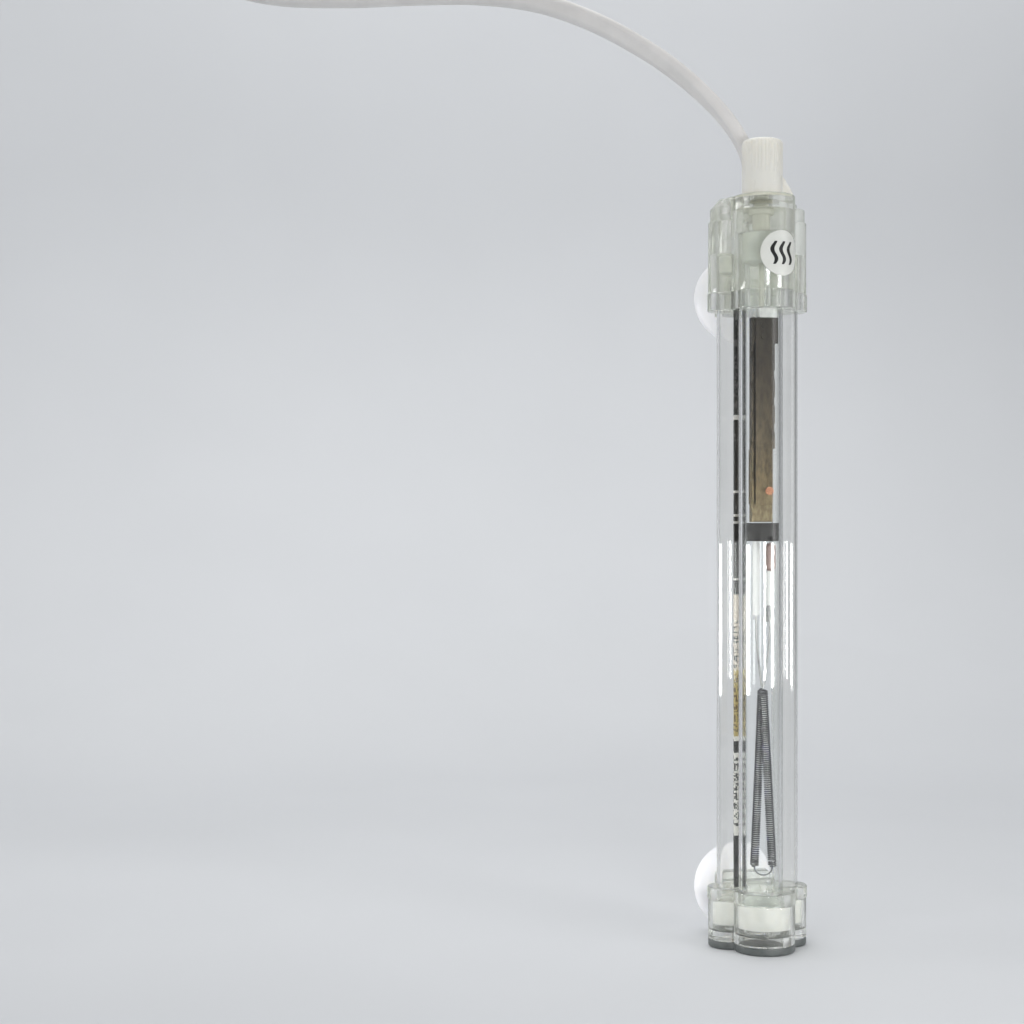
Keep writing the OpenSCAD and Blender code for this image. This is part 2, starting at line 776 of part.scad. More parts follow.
module plug_pins() {
    root_h = 12;
    shank_h = 18;
    color([0.85, 0.85, 0.86]) at_pins() {
        cylinder(r = pin_root_r, h = root_h);
        translate([0, 0, root_h]) cylinder(r = pin_r, h = shank_h);
        translate([0, 0, root_h + shank_h]) cylinder(r1 = pin_r, r2 = pin_r - 0.9, h = 1);
    }
}

top_cap();
upper_cup_clip();
bottom_cap();
lower_cup_clip();
foot_plate();
main_tube();
left_side_tube();
right_side_tube();
tube_seat();
main_tube_plug();
side_tube_plugs();
temperature_knob();
knob_spindle();
spindle_o_ring();
scale_ring();
adjuster_pin();
ceramic_block();
thermostat_frame();
frame_rivets();
bimetal_strip();
moving_contact();
fixed_contact();
snap_magnet();
contact_leaf();
insulating_plug();
left_lead_sleeve();
thermal_fuse();
right_lead_sleeve();
lead_crimp();
heater_leads();
heating_coil();
coil_cores();
label_film();
rating_sticker();
cable_gland();
power_cord();
supply_leads();
plug_body();
plug_pins();
suction_cup_upper();
suction_cup_lower();
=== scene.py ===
"""A mains heater: a glass tube with thermostat and coil, between two slimmer glass side tubes.

It stands upright on z = 0 with the main tube on the z axis. Front is -Y, right is +X. The suction
cups are at the back (+Y) and the cord leaves the top and runs left (-X) to its plug.
Shapes are in millimetres; lights, camera and shader distances are in metres.
"""
import bpy
import bmesh
import math
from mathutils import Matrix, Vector


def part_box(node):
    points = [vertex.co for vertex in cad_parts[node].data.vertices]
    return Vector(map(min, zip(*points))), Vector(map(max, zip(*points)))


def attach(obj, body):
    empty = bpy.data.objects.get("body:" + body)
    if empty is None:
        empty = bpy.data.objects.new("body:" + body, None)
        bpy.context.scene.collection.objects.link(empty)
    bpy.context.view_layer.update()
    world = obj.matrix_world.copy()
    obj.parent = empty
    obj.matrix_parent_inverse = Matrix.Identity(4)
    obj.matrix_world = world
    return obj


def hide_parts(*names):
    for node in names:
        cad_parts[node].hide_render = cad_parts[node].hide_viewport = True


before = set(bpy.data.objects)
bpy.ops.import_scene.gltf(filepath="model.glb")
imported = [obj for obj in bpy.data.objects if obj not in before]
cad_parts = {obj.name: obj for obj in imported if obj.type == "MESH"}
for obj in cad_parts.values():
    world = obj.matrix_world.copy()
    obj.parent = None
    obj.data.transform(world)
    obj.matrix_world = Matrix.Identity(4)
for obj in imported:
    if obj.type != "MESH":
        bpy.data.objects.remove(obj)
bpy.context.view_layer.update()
scene = bpy.context.scene
MM = 0.001

# ---------------------------------------------------------------- sizes read from the CAD pieces


def box(node):
    """Lower and upper corner of a CAD node, in millimetres."""
    lo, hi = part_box(node)
    return lo / MM, hi / MM


main_lo, main_hi = box("main_tube")
left_lo, left_hi = box("left_side_tube")
right_lo, right_hi = box("right_side_tube")
cap_lo, cap_hi = box("top_cap")
clip_lo, clip_hi = box("upper_cup_clip")
upper_cup_lo, upper_cup_hi = box("suction_cup_upper")
lower_cup_lo, lower_cup_hi = box("suction_cup_lower")
knob_lo, knob_hi = box("temperature_knob")
gland_lo, gland_hi = box("cable_gland")
plug_lo, plug_hi = box("plug_body")
pins_lo, pins_hi = box("plug_pins")
ring_lo, ring_hi = box("scale_ring")
sticker_lo, sticker_hi = box("rating_sticker")
BOTTOM_CAP_TOP = box("bottom_cap")[1].z
FOOT_TOP = box("foot_plate")[1].z
SEAT_BOTTOM = box("tube_seat")[0].z

# Tubes
MAIN_R = (main_hi.x - main_lo.x) / 2
SIDE_X = (right_lo.x + right_hi.x) / 2
SIDE_Y = (right_lo.y + right_hi.y) / 2
SIDE_R = (right_hi.x - right_lo.x) / 2

# Plan of the caps: round lobes around the main axis, the side tubes, the front and the gland
GLAND_Y = (gland_lo.y + gland_hi.y) / 2
FRONT_Y = -1.8
MAIN_LOBE_R = 8.0
SIDE_LOBE_R = cap_hi.x - SIDE_X
BACK_LOBE_R = cap_hi.y - GLAND_Y
FRONT_LOBE_R = FRONT_Y - cap_lo.y
SHOULDER_Y, SHOULDER_R = 4.0, 10.97     # wide lobe of the top cap only

# Heights of the top cap
TOP = cap_hi.z
SEAM = cap_lo.z
SIDE_TOP = TOP - 2.9
STEP_Z = TOP - 7.0
CHAMBER_TOP = gland_lo.z + 1.5

# Suction cups
UPPER_CUP_Z = (upper_cup_lo.z + upper_cup_hi.z) / 2
LOWER_CUP_Z = (lower_cup_lo.z + lower_cup_hi.z) / 2
CUP_R = (upper_cup_hi.x - upper_cup_lo.x) / 2
CUP_RIM_Y = upper_cup_hi.y

# Plug, which points to -X
PLUG_FACE_X = plug_lo.x
PLUG_Y = (plug_lo.y + plug_hi.y) / 2
PLUG_Z = (plug_lo.z + plug_hi.z) / 2
PIN_OFFSET = 9.3                        # each pin from the middle of the plug

# ---------------------------------------------------------------- shader graph helpers


def rgba(colour):
    return (*colour, 1)


def srgb(*channels):
    """Linear colour from 0-255 sRGB channels."""
    unit = [c / 255 for c in channels]
    return tuple(c / 12.92 if c <= 0.04045 else ((c + 0.055) / 1.055) ** 2.4 for c in unit)


def scaled(colour, factor):
    return tuple(c * factor for c in colour)


class Graph:
    """Node tree of a material or world, with a short method for each common node."""

    def __init__(self, owner):
        owner.use_nodes = True
        self.owner = owner
        self.tree = owner.node_tree

    def add(self, kind, inputs=None, **settings):
        node = self.tree.nodes.new("ShaderNode" + kind)
        for name, value in settings.items():
            setattr(node, name, value)
        self.feed(node, inputs or {})
        return node

    def feed(self, node, inputs):
        """Links each input that is given a socket and sets the others."""
        for key, value in inputs.items():
            if isinstance(value, bpy.types.NodeSocket):
                self.tree.links.new(value, node.inputs[key])
            else:
                node.inputs[key].default_value = value

    def finish(self, shader):
        self.feed(self.output, {"Surface": shader})
        return self.owner

    def position(self):
        return self.add("TexCoord").outputs["Object"]

    def coords(self, stretch=(1, 1, 1), shift=(0, 0, 0)):
        inputs = {"Vector": self.position(), "Scale": stretch, "Location": shift}
        return self.add("Mapping", inputs).outputs["Vector"]

    def noise(self, vector, scale, detail=3.0, rough=0.55):
        inputs = {"Vector": vector, "Scale": scale, "Detail": detail, "Roughness": rough}
        return self.add("TexNoise", inputs).outputs["Fac"]

    def ramp(self, factor, stops, interpolation="LINEAR"):
        """Colour ramp from (position, colour) stops."""
        node = self.add("ValToRGB", {"Fac": factor})
        ramp = node.color_ramp
        ramp.interpolation = interpolation
        while len(ramp.elements) > 1:
            ramp.elements.remove(ramp.elements[-1])
        ramp.elements[0].position = stops[0][0]
        ramp.elements[0].color = rgba(stops[0][1])
        for position, colour in stops[1:]:
            ramp.elements.new(position).color = rgba(colour)
        return node.outputs["Color"]

    def remap(self, value, source, target):
        inputs = {"Value": value, "From Min": source[0], "From Max": source[1],
                  "To Min": target[0], "To Max": target[1]}
        return self.add("MapRange", inputs).outputs["Result"]

    def bump(self, height, strength, distance=0.0001):
        inputs = {"Height": height, "Strength": strength, "Distance": distance}
        return self.add("Bump", inputs).outputs["Normal"]

    def calc(self, operation, *values):
        return self.add("Math", dict(enumerate(values)), operation=operation).outputs[0]

    def mix_colour(self, factor, first, second, blend="MIX"):
        # 0, 6 and 7 are the factor and the two colours of a mix node; 2 is its colour result
        inputs = {0: factor, 6: first, 7: second}
        return self.add("Mix", inputs, data_type="RGBA", blend_type=blend).outputs[2]

    def mix_shader(self, factor, first, second):
        return self.add("MixShader", {"Fac": factor, 1: first, 2: second}).outputs[0]

    def transparent(self, tint=(1, 1, 1)):
        return self.add("BsdfTransparent", {"Color": rgba(tint)}).outputs[0]


def new_graph(name):
    graph = Graph(bpy.data.materials.new(name))
    graph.tree.nodes.clear()
    graph.output = graph.add("OutputMaterial")
    return graph


def lamp_through(graph, shader, tint):
    """Lets lamps light what is inside a clear piece, so its inside isn't black."""
    path = graph.add("LightPath")
    passing = graph.calc("MAXIMUM", path.outputs["Is Shadow Ray"], path.outputs["Is Diffuse Ray"])
    return graph.mix_shader(passing, shader, graph.transparent(tint))


def painted_edge_shade(graph, colour, edge, start):
    """Painted shade: mixes towards a darker edge colour where the surface turns away. This stands
    in for the dark surroundings that the edges refract, and partly for the longer path through the
    wall.
    """
    facing = graph.add("LayerWeight", {"Blend": 0.5}).outputs["Facing"]
    return graph.mix_colour(graph.remap(facing, (start, 0.97), (0.0, 1.0)), colour, rgba(edge))


# ---------------------------------------------------------------- materials


def refracting(graph, vector, colour, shade, edge, edge_shade_start, ior, rough, rough_scale,
               wave, wave_scale, wave_stretch):
    """Clear body with slight colour and roughness variation and a faint surface wave."""
    body = graph.add("BsdfPrincipled", {"Transmission Weight": 1.0, "IOR": ior})
    varied = graph.ramp(graph.noise(vector, wave_scale, detail=2.0),
                        [(0.3, scaled(colour, shade)), (0.7, colour)])
    ripples = (1, 1, wave_stretch)
    graph.feed(body, {
        # the darker edges are painted shade, partly also the longer path through the wall
        "Base Color": painted_edge_shade(graph, varied, edge, edge_shade_start),
        "Roughness": graph.remap(graph.noise(vector, wave_scale * rough_scale),
                                 (0.35, 0.7), rough),
        "Normal": graph.bump(graph.noise(graph.coords(ripples), wave_scale * 0.8, detail=1.0),
                             strength=wave, distance=0.0003),
    })
    return body.outputs[0]


def glass(name, colour, ior, rough, tint, wave):
    graph = new_graph(name)
    # edge is the dark grey of the painted shade at the tube's grazing edges
    body = refracting(graph, graph.coords(), colour, shade=0.965, edge=(0.30, 0.31, 0.29),
                      edge_shade_start=0.42, ior=ior, rough=rough, rough_scale=2.7,
                      wave=wave, wave_scale=60, wave_stretch=0.25)
    return graph.finish(lamp_through(graph, body, tint))


def cloudy_plastic(name, colour, rough, tint, haze, milk, wave, wave_scale):
    """Clear moulding mixed with light scattered inside the plastic; haze is the range of that."""
    graph = new_graph(name)
    vector = graph.coords()
    # edge is the greenish grey of the painted shade at the moulding's grazing edges
    body = refracting(graph, vector, colour, shade=0.95, edge=(0.50, 0.54, 0.45),
                      edge_shade_start=0.5, ior=1.49, rough=rough, rough_scale=2.3,
                      wave=wave, wave_scale=wave_scale, wave_stretch=0.3)
    milk = srgb(*milk)
    clouds = graph.noise(graph.coords(shift=(0.3, 0.1, 0.2)), wave_scale * 0.6)
    clouds = graph.ramp(clouds, [(0.3, scaled(milk, 0.86)), (0.7, milk)])
    scatter = graph.mix_shader(0.55, graph.add("BsdfDiffuse", {"Color": clouds}).outputs[0],
                               graph.add("BsdfTranslucent", {"Color": clouds}).outputs[0])
    amount = graph.remap(graph.noise(vector, wave_scale * 0.9, detail=4.0), (0.3, 0.7), haze)
    mixed = graph.mix_shader(amount, body, scatter)
    return graph.finish(lamp_through(graph, mixed, tint))


def solid(name, light, dark, scale, rough, metal=0.0, bumps=0.0, inner=0.0, inner_depth=0.002,
          through=0.0, coat=0.0, stretch=(1, 1, 1)):
    """Opaque stuff mottled between two sRGB colours; inner is its subsurface weight."""
    graph = new_graph(name)
    body = graph.add("BsdfPrincipled", {"Metallic": metal, "IOR": 1.45, "Coat Weight": coat,
                                        "Transmission Weight": through})
    vector = graph.coords(stretch)
    graph.feed(body, {
        "Base Color": graph.ramp(graph.noise(vector, scale, detail=4.0),
                                 [(0.32, srgb(*dark)), (0.66, srgb(*light))]),
        "Roughness": graph.remap(graph.noise(vector, scale * 1.9), (0.3, 0.7), rough),
    })
    if inner:
        graph.feed(body, {"Subsurface Weight": inner, "Subsurface Radius": (1.0, 0.95, 0.85),
                          "Subsurface Scale": inner_depth})
    if bumps:
        graph.feed(body, {"Normal": graph.bump(graph.noise(vector, scale * 3), bumps)})
    return graph.finish(body.outputs[0])


def brown_strip_dark_top(name, darker):
    """Brown strip: near black at the top, olive brown at the lower end, blotched and streaked."""
    graph = new_graph(name)
    body = graph.add("BsdfPrincipled", {"Metallic": 0.55})
    height = graph.add("SeparateXYZ", {0: graph.position()}).outputs["Z"]
    stops = ((0.0, (138, 126, 98)), (0.18, (112, 98, 70)), (0.42, (92, 82, 64)),
             (0.72, (66, 58, 46)), (1.0, (50, 45, 36)))
    brown = graph.ramp(graph.remap(height, (0.127, 0.190), (0.0, 1.0)),
                       [(at, srgb(*(c - darker for c in colour))) for at, colour in stops])
    vector = graph.coords((1, 1, 0.45))
    blotches = graph.ramp(graph.noise(vector, 900, detail=5, rough=0.6),
                          [(0.35, (0.34, 0.31, 0.27)), (0.6, (1, 1, 1))])
    streaks = graph.coords((1, 1, 0.2))
    graph.feed(body, {
        "Base Color": graph.mix_colour(0.85, brown, blotches, blend="MULTIPLY"),
        "Roughness": graph.remap(graph.noise(vector, 1500), (0.3, 0.7), (0.32, 0.62)),
        "Normal": graph.bump(graph.noise(streaks, 2500), strength=0.35),
    })
    return graph.finish(body.outputs[0])


def resistance_wire(name):
    """Dark oxidised wire with blue and violet heat tints."""
    graph = new_graph(name)
    body = graph.add("BsdfPrincipled", {"Metallic": 0.6})
    vector = graph.coords()
    stops = ((0.2, (108, 108, 110)), (0.55, (86, 87, 88)), (0.66, (92, 90, 110)),
             (0.74, (62, 56, 128)), (0.8, (96, 96, 98)))
    graph.feed(body, {
        "Base Color": graph.ramp(graph.noise(vector, 260), [(at, srgb(*c)) for at, c in stops]),
        "Roughness": graph.remap(graph.noise(vector, 900), (0.3, 0.7), (0.3, 0.55)),
    })
    return graph.finish(body.outputs[0])


def woven_sleeve(name):
    """Glass-fibre sleeve: two crossed sets of fine threads."""
    graph = new_graph(name)
    body = graph.add("BsdfPrincipled", {"Roughness": 0.75})
    position = graph.position()
    threads = []
    for tilt in (0.7, -0.7):
        tilted = graph.add("Mapping", {"Rotation": (0, tilt, 0), "Vector": position})
        wave = {"Scale": 900, "Distortion": 0.4, "Vector": tilted.outputs["Vector"]}
        threads.append(graph.add("TexWave", wave, bands_direction="Z").outputs["Fac"])
    weave = graph.calc("MAXIMUM", *threads)
    graph.feed(body, {
        "Base Color": graph.ramp(weave, [(0.2, srgb(214, 214, 212)), (0.9, srgb(240, 240, 238))]),
        "Normal": graph.bump(weave, strength=0.4),
    })
    return graph.finish(body.outputs[0])


# The printed film, by height in millimetres; each band runs up to the next entry
FILM_BOTTOM, FILM_TOP = 18.0, 200.0
BLACK, PALE = srgb(34, 33, 33), srgb(206, 204, 200)
BEIGE, OLIVE, BROWN = srgb(196, 187, 176), srgb(158, 143, 92), srgb(72, 54, 20)
FILM_GROUND = (
    (18, BLACK), (33.5, PALE), (35.5, PALE), (57.2, PALE), (58.2, BLACK), (62, PALE),
    (63, OLIVE), (83, BEIGE), (106, BLACK), (110.3, PALE), (110.7, BLACK), (127.2, PALE),
    (127.7, BLACK), (129.2, PALE), (129.7, BLACK), (136.3, PALE), (136.8, BLACK),
    (158.6, PALE), (159.6, BLACK), (180.4, srgb(86, 84, 84)), (182.4, BLACK))
FILM_MARKS = ((18, BLACK), (35.5, BLACK), (63, BROWN), (83, BLACK), (106, srgb(84, 82, 82)))
# Share of the cells that carry a mark
FILM_DENSITY = (
    (18, 0), (36, 0.56), (57, 0), (64, 0.5), (81.5, 0), (84, 0.52), (98, 0), (125.5, 0),
    (151.8, 0.6), (154.4, 0), (160.5, 0.42), (179, 0), (183, 0.3), (196, 0))
FILM_CELL = (0.00055, 0.00055, 0.00048)     # metres
FILM_ROW_PITCH = 0.00295                    # metres
FILM_ROW_SHARE = 0.78                       # part of the pitch that is printed


def printed_film(name):
    """Bands along the film, with rows of small abstract blocks in place of lettering."""
    graph = new_graph(name)
    body = graph.add("BsdfPrincipled")
    position = graph.position()
    height = graph.add("SeparateXYZ", {0: position}).outputs["Z"]
    along = graph.remap(height, (FILM_BOTTOM * MM, FILM_TOP * MM), (0.0, 1.0))

    def bands(table):
        stops = [((z - FILM_BOTTOM) / (FILM_TOP - FILM_BOTTOM), colour) for z, colour in table]
        return graph.ramp(along, stops, "CONSTANT")

    ground = bands(FILM_GROUND)
    marks = bands(FILM_MARKS)
    density = bands([(z, (share,) * 3) for z, share in FILM_DENSITY])
    cell = graph.add("VectorMath", {0: position, 1: FILM_CELL}, operation="SNAP").outputs[0]
    chance = graph.add("TexWhiteNoise", {"Vector": cell}, noise_dimensions="3D").outputs["Value"]
    marked = graph.calc("LESS_THAN", chance, density)
    in_row = graph.calc("FRACT", graph.calc("MULTIPLY", height, 1 / FILM_ROW_PITCH))
    printed = graph.calc("MULTIPLY", marked, graph.calc("LESS_THAN", in_row, FILM_ROW_SHARE))
    graph.feed(body, {
        "Base Color": graph.mix_colour(printed, ground, marks),
        "Roughness": graph.remap(graph.noise(graph.coords(), 700, detail=2),
                                 (0.3, 0.7), (0.3, 0.5)),
    })
    return graph.finish(body.outputs[0])


def pale_floor(name):
    """Floor that shows on the back side of its faces only; the other side lets the view through."""
    graph = new_graph(name)
    body = graph.add("BsdfPrincipled", {"Roughness": 0.8})
    tone = graph.ramp(graph.noise(graph.coords(), 6, detail=2),
                      [(0.3, (0.665, 0.68, 0.70)), (0.7, (0.69, 0.705, 0.725))])
    graph.feed(body, {"Base Color": tone})
    behind = graph.add("NewGeometry").outputs["Backfacing"]
    return graph.finish(graph.mix_shader(behind, graph.transparent(), body.outputs[0]))


CLOUDY_PLASTICS = {
    "cap_clear_plastic": dict(
        colour=(0.955, 0.965, 0.925), rough=(0.04, 0.14), tint=(0.92, 0.93, 0.90),
        haze=(0.12, 0.24), milk=(232, 233, 224), wave=0.10, wave_scale=160),
    "clip_clear_plastic": dict(
        colour=(0.955, 0.962, 0.94), rough=(0.02, 0.10), tint=(0.93, 0.935, 0.915),
        haze=(0.05, 0.12), milk=(226, 228, 220), wave=0.10, wave_scale=190),
    "low_cap_clear_plastic": dict(
        colour=(0.95, 0.955, 0.935), rough=(0.03, 0.12), tint=(0.93, 0.93, 0.915),
        haze=(0.03, 0.08), milk=(226, 228, 221), wave=0.12, wave_scale=170),
}
GLASSES = {
    "quartz_glass": dict(colour=(0.975, 0.985, 0.98), ior=1.46, rough=(0.0, 0.02),
                         tint=(0.96, 0.97, 0.965), wave=0.02),
    "side_tube_glass": dict(colour=(0.965, 0.965, 0.955), ior=1.47, rough=(0.0, 0.03),
                            tint=(0.95, 0.95, 0.945), wave=0.03),
}
SOLIDS = {
    # the foot pad's dark grey is painted shade, for the dark band along the foot of the bottom cap
    "foot_rubber": dict(light=(92, 96, 95), dark=(70, 75, 74), scale=300, rough=(0.28, 0.5),
                        bumps=0.15),
    "silicone_white": dict(light=(236, 237, 234), dark=(224, 226, 223), scale=260,
                           rough=(0.3, 0.45), inner=0.5, inner_depth=0.0025, bumps=0.06,
                           through=0.12),
    "knob_plastic": dict(light=(233, 231, 223), dark=(231, 229, 220), scale=160,
                         rough=(0.24, 0.34), inner=0.55, inner_depth=0.003, bumps=0.05,
                         coat=0.15, stretch=(1, 1, 0.25)),
    "cup_pvc": dict(light=(238, 238, 240), dark=(234, 234, 237), scale=90, rough=(0.30, 0.35),
                    inner=0.5, inner_depth=0.003, coat=0.05),
    "cord_pvc": dict(light=(233, 231, 229), dark=(224, 222, 220), scale=120, rough=(0.34, 0.48),
                     inner=0.15, inner_depth=0.001, bumps=0.08),
    "plug_pvc": dict(light=(233, 231, 229), dark=(225, 223, 221), scale=150, rough=(0.4, 0.52),
                     inner=0.1, inner_depth=0.001, bumps=0.12),
    "spindle_plastic": dict(light=(214, 213, 204), dark=(200, 199, 190), scale=300,
                            rough=(0.35, 0.5)),
    "o_ring_rubber": dict(light=(132, 130, 108), dark=(118, 116, 95), scale=500,
                          rough=(0.35, 0.55)),
    "white_ceramic": dict(light=(226, 226, 224), dark=(206, 206, 204), scale=700,
                          rough=(0.5, 0.7), bumps=0.3),
    "copper": dict(light=(196, 142, 112), dark=(146, 98, 72), scale=1300, rough=(0.22, 0.4),
                   metal=0.85, bumps=0.25),
    "silver_contact": dict(light=(210, 206, 196), dark=(180, 176, 166), scale=900,
                           rough=(0.2, 0.4), metal=1.0),
    "magnet_grey": dict(light=(84, 84, 88), dark=(60, 60, 64), scale=900, rough=(0.35, 0.55),
                        metal=0.8),
    "black_fibre": dict(light=(46, 44, 42), dark=(24, 23, 22), scale=900, rough=(0.55, 0.8),
                        bumps=0.5),
    "fuse_body": dict(light=(172, 150, 144), dark=(146, 124, 118), scale=700, rough=(0.4, 0.6),
                      bumps=0.15),
    "tinned_metal": dict(light=(190, 190, 188), dark=(150, 150, 150), scale=700,
                         rough=(0.25, 0.45), metal=0.9, bumps=0.1),
    "sticker_gloss": dict(light=(219, 220, 215), dark=(211, 212, 206), scale=300,
                          rough=(0.12, 0.25), bumps=0.03, coat=0.4),
    "black_ink": dict(light=(24, 24, 24), dark=(14, 14, 14), scale=500, rough=(0.3, 0.45)),
    "scale_ring_white": dict(light=(232, 228, 218), dark=(222, 217, 206), scale=400,
                             rough=(0.35, 0.5)),
    "scale_ink_red": dict(light=(176, 84, 84), dark=(158, 72, 72), scale=500,
                          rough=(0.4, 0.55)),
    "nickel_plate": dict(light=(206, 204, 198), dark=(180, 178, 172), scale=500,
                         rough=(0.14, 0.28), metal=1.0, bumps=0.04),
    "pin_sleeve": dict(light=(226, 224, 222), dark=(216, 214, 212), scale=500, rough=(0.4, 0.5)),
    "lead_insulation": dict(light=(224, 224, 226), dark=(208, 208, 210), scale=500,
                            rough=(0.4, 0.55), inner=0.1, inner_depth=0.001),
}
MATS = {}
for maker, table in ((cloudy_plastic, CLOUDY_PLASTICS), (glass, GLASSES), (solid, SOLIDS)):
    for mat_name, settings in table.items():
        MATS[mat_name] = maker(mat_name, **settings)
for mat_name, darker in (("thermostat_frame_steel", 6), ("bimetal_brown", 8)):
    MATS[mat_name] = brown_strip_dark_top(mat_name, darker)
for maker, mat_name in ((resistance_wire, "resistance_wire"),
                        (woven_sleeve, "glass_fibre_sleeve"), (printed_film, "film_print")):
    MATS[mat_name] = maker(mat_name)

# ---------------------------------------------------------------- shapes: (vertices, faces) in mm


def stitch(rings):
    """Joins neighbouring rings, and the last to the first; a ring of one point is a pole."""
    verts = [point for ring in rings for point in ring]
    seg = max(len(ring) for ring in rings)
    starts = [sum(len(ring) for ring in rings[:i]) for i in range(len(rings))]
    faces = []
    for i in range(len(rings)):
        after = (i + 1) % len(rings)
        a, b = starts[i], starts[after]
        pole_a, pole_b = len(rings[i]) == 1, len(rings[after]) == 1
        if pole_a and pole_b:
            continue
        for j in range(seg):
            k = (j + 1) % seg
            if pole_a:
                faces.append((a, b + j, b + k))
            elif pole_b:
                faces.append((a + j, a + k, b))
            else:
                faces.append((a + j, a + k, b + k, b + j))
    return verts, faces


def lathe(profile, seg=96, axis="Z", centre=(0, 0, 0)):
    """Turned solid from (radius, height) points. Height runs along +Z, +Y or, for "X", -X."""
    cx, cy, cz = centre

    def place(x, y, height):
        if axis == "Z":
            return cx + x, cy + y, cz + height
        if axis == "Y":
            return cx + x, cy + height, cz + y
        return cx - height, cy + x, cz + y

    rings = []
    for radius, height in profile:
        if radius < 1e-6:
            rings.append([place(0, 0, height)])
        else:
            angles = [2 * math.pi * j / seg for j in range(seg)]
            rings.append([place(radius * math.cos(a), radius * math.sin(a), height)
                          for a in angles])
    return stitch(rings)


def cylinder(radius, z0, z1, centre=(0, 0), seg=72):
    profile = [(0, z0), (radius, z0), (radius, z1), (0, z1)]
    return lathe(profile, seg, "Z", (centre[0], centre[1], 0))


def loft(rings):
    """Skin over rings of equal length, with both ends capped."""
    n = len(rings[0])
    faces = []
    for i in range(len(rings) - 1):
        for j in range(n):
            k = (j + 1) % n
            faces.append((i * n + j, i * n + k, (i + 1) * n + k, (i + 1) * n + j))
    faces.append(tuple(range(n - 1, -1, -1)))
    faces.append(tuple((len(rings) - 1) * n + j for j in range(n)))
    return [point for ring in rings for point in ring], faces


def lobed_ring(z, grow=0.0, side_grow=0.0, sides=True, shoulder=False):
    """Plan outline of the caps at height z: round lobes, with small fillets in the grooves."""
    count, sharpness = 288, 5.0
    circles = [(0, 0, MAIN_LOBE_R + grow), (0, FRONT_Y, FRONT_LOBE_R + grow),
               (0, GLAND_Y, BACK_LOBE_R + grow)]
    if sides:
        radius = SIDE_LOBE_R + grow + side_grow
        circles += [(SIDE_X, SIDE_Y, radius), (-SIDE_X, SIDE_Y, radius)]
    if shoulder:
        circles.append((0, SHOULDER_Y, SHOULDER_R + grow))
    points = []
    for i in range(count):
        angle = 2 * math.pi * i / count
        ux, uy = math.cos(angle), math.sin(angle)
        reaches = []
        for cx, cy, radius in circles:
            along = cx * ux + cy * uy
            off = cx * uy - cy * ux
            square = radius * radius - off * off
            if square >= 0 and along + math.sqrt(square) > 0:
                reaches.append(along + math.sqrt(square))
        # smooth maximum of the lobes' reaches from the main axis
        far = max(reaches)
        blend = math.log(sum(math.exp(sharpness * (r - far)) for r in reaches)) / sharpness
        points.append((ux * (far + blend), uy * (far + blend), z))
    return points


def lobed_prism(z0, z1, grow=0.0, low_round=0.4, high_round=0.4):
    """Lobed prism with rounded lower and upper edges."""
    steps = 4

    def edge(z, radius, direction):
        if radius <= 0:
            return [(z, grow)]
        angles = [math.pi / 2 * i / steps for i in range(steps + 1)]
        return [(z + direction * radius * (1 - math.cos(a)), grow - radius * (1 - math.sin(a)))
                for a in angles]

    levels = edge(z0, low_round, 1) + edge(z1, high_round, -1)[::-1]
    return loft([lobed_ring(z, size) for z, size in levels])


def round_box(lo, hi, radius, axis, steps=5):
    """Box whose four edges along the axis are round, with small chamfers at its two ends."""
    first, second, length = {"Y": (2, 0, 1), "Z": (0, 1, 2)}[axis]
    a0, a1 = lo[first] + radius, hi[first] - radius
    b0, b1 = lo[second] + radius, hi[second] - radius
    c0, c1 = lo[length], hi[length]

    def ring(c, inset):
        points = []
        for a, b, quarter in ((a1, b1, 0), (a0, b1, 1), (a0, b0, 2), (a1, b0, 3)):
            for i in range(steps + 1):
                angle = math.pi / 2 * (quarter + i / steps)
                point = [0, 0, 0]
                point[first] = a + (radius - inset) * math.cos(angle)
                point[second] = b + (radius - inset) * math.sin(angle)
                point[length] = c
                points.append(tuple(point))
        return points

    e = min(0.3, radius * 0.4)
    return loft([ring(c0, e), ring(c0 + e * 0.3, e * 0.3), ring(c0 + e, 0),
                 ring(c1 - e, 0), ring(c1 - e * 0.3, e * 0.3), ring(c1, e)])


def catmull(points, steps):
    """Catmull-Rom curve through the points."""
    points = [Vector(point) for point in points]
    last = len(points) - 1
    curve = []
    for i in range(last):
        p0, p1, p2, p3 = points[max(i - 1, 0)], points[i], points[i + 1], points[min(i + 2, last)]
        for step in range(steps):
            t = step / steps
            curve.append(0.5 * (2 * p1 + (p2 - p0) * t + (2 * p0 - 5 * p1 + 4 * p2 - p3) * t * t
                                + (3 * p1 - p0 - 3 * p2 + p3) * t ** 3))
    curve.append(points[-1])
    return curve


def sweep(path, section, reference=Vector((0, 1, 0)), turns=None):
    """Section carried along a path; turns are its angles about the path, one per point."""
    rings = []
    last = len(path) - 1
    for i, centre in enumerate(path):
        tangent = (path[min(i + 1, last)] - path[max(i - 1, 0)]).normalized()
        u = reference.cross(tangent).normalized()
        v = tangent.cross(u)
        angle = turns[i] if turns else 0.0
        ca, sa = math.cos(angle), math.sin(angle)
        rings.append([tuple(centre + (u * (x * ca - y * sa) + v * (x * sa + y * ca)))
                      for x, y in section])
    return loft(rings)


def circle(radius, count):
    return [(radius * math.cos(2 * math.pi * j / count), radius * math.sin(2 * math.pi * j / count))
            for j in range(count)]


def merge(*shapes):
    verts, faces = [], []
    for more_verts, more_faces in shapes:
        start = len(verts)
        verts += more_verts
        faces += [tuple(i + start for i in face) for face in more_faces]
    return verts, faces


def smoothstep(t):
    return t * t * (3 - 2 * t)


# ---------------------------------------------------------------- objects


def place_object(name, data):
    ob = bpy.data.objects.new(name, data)
    scene.collection.objects.link(ob)
    return ob


def new_mesh(name, shape):
    verts, faces = shape
    mesh = bpy.data.meshes.new(name)
    mesh.from_pydata([tuple(c * MM for c in v) for v in verts], [], faces)
    return mesh


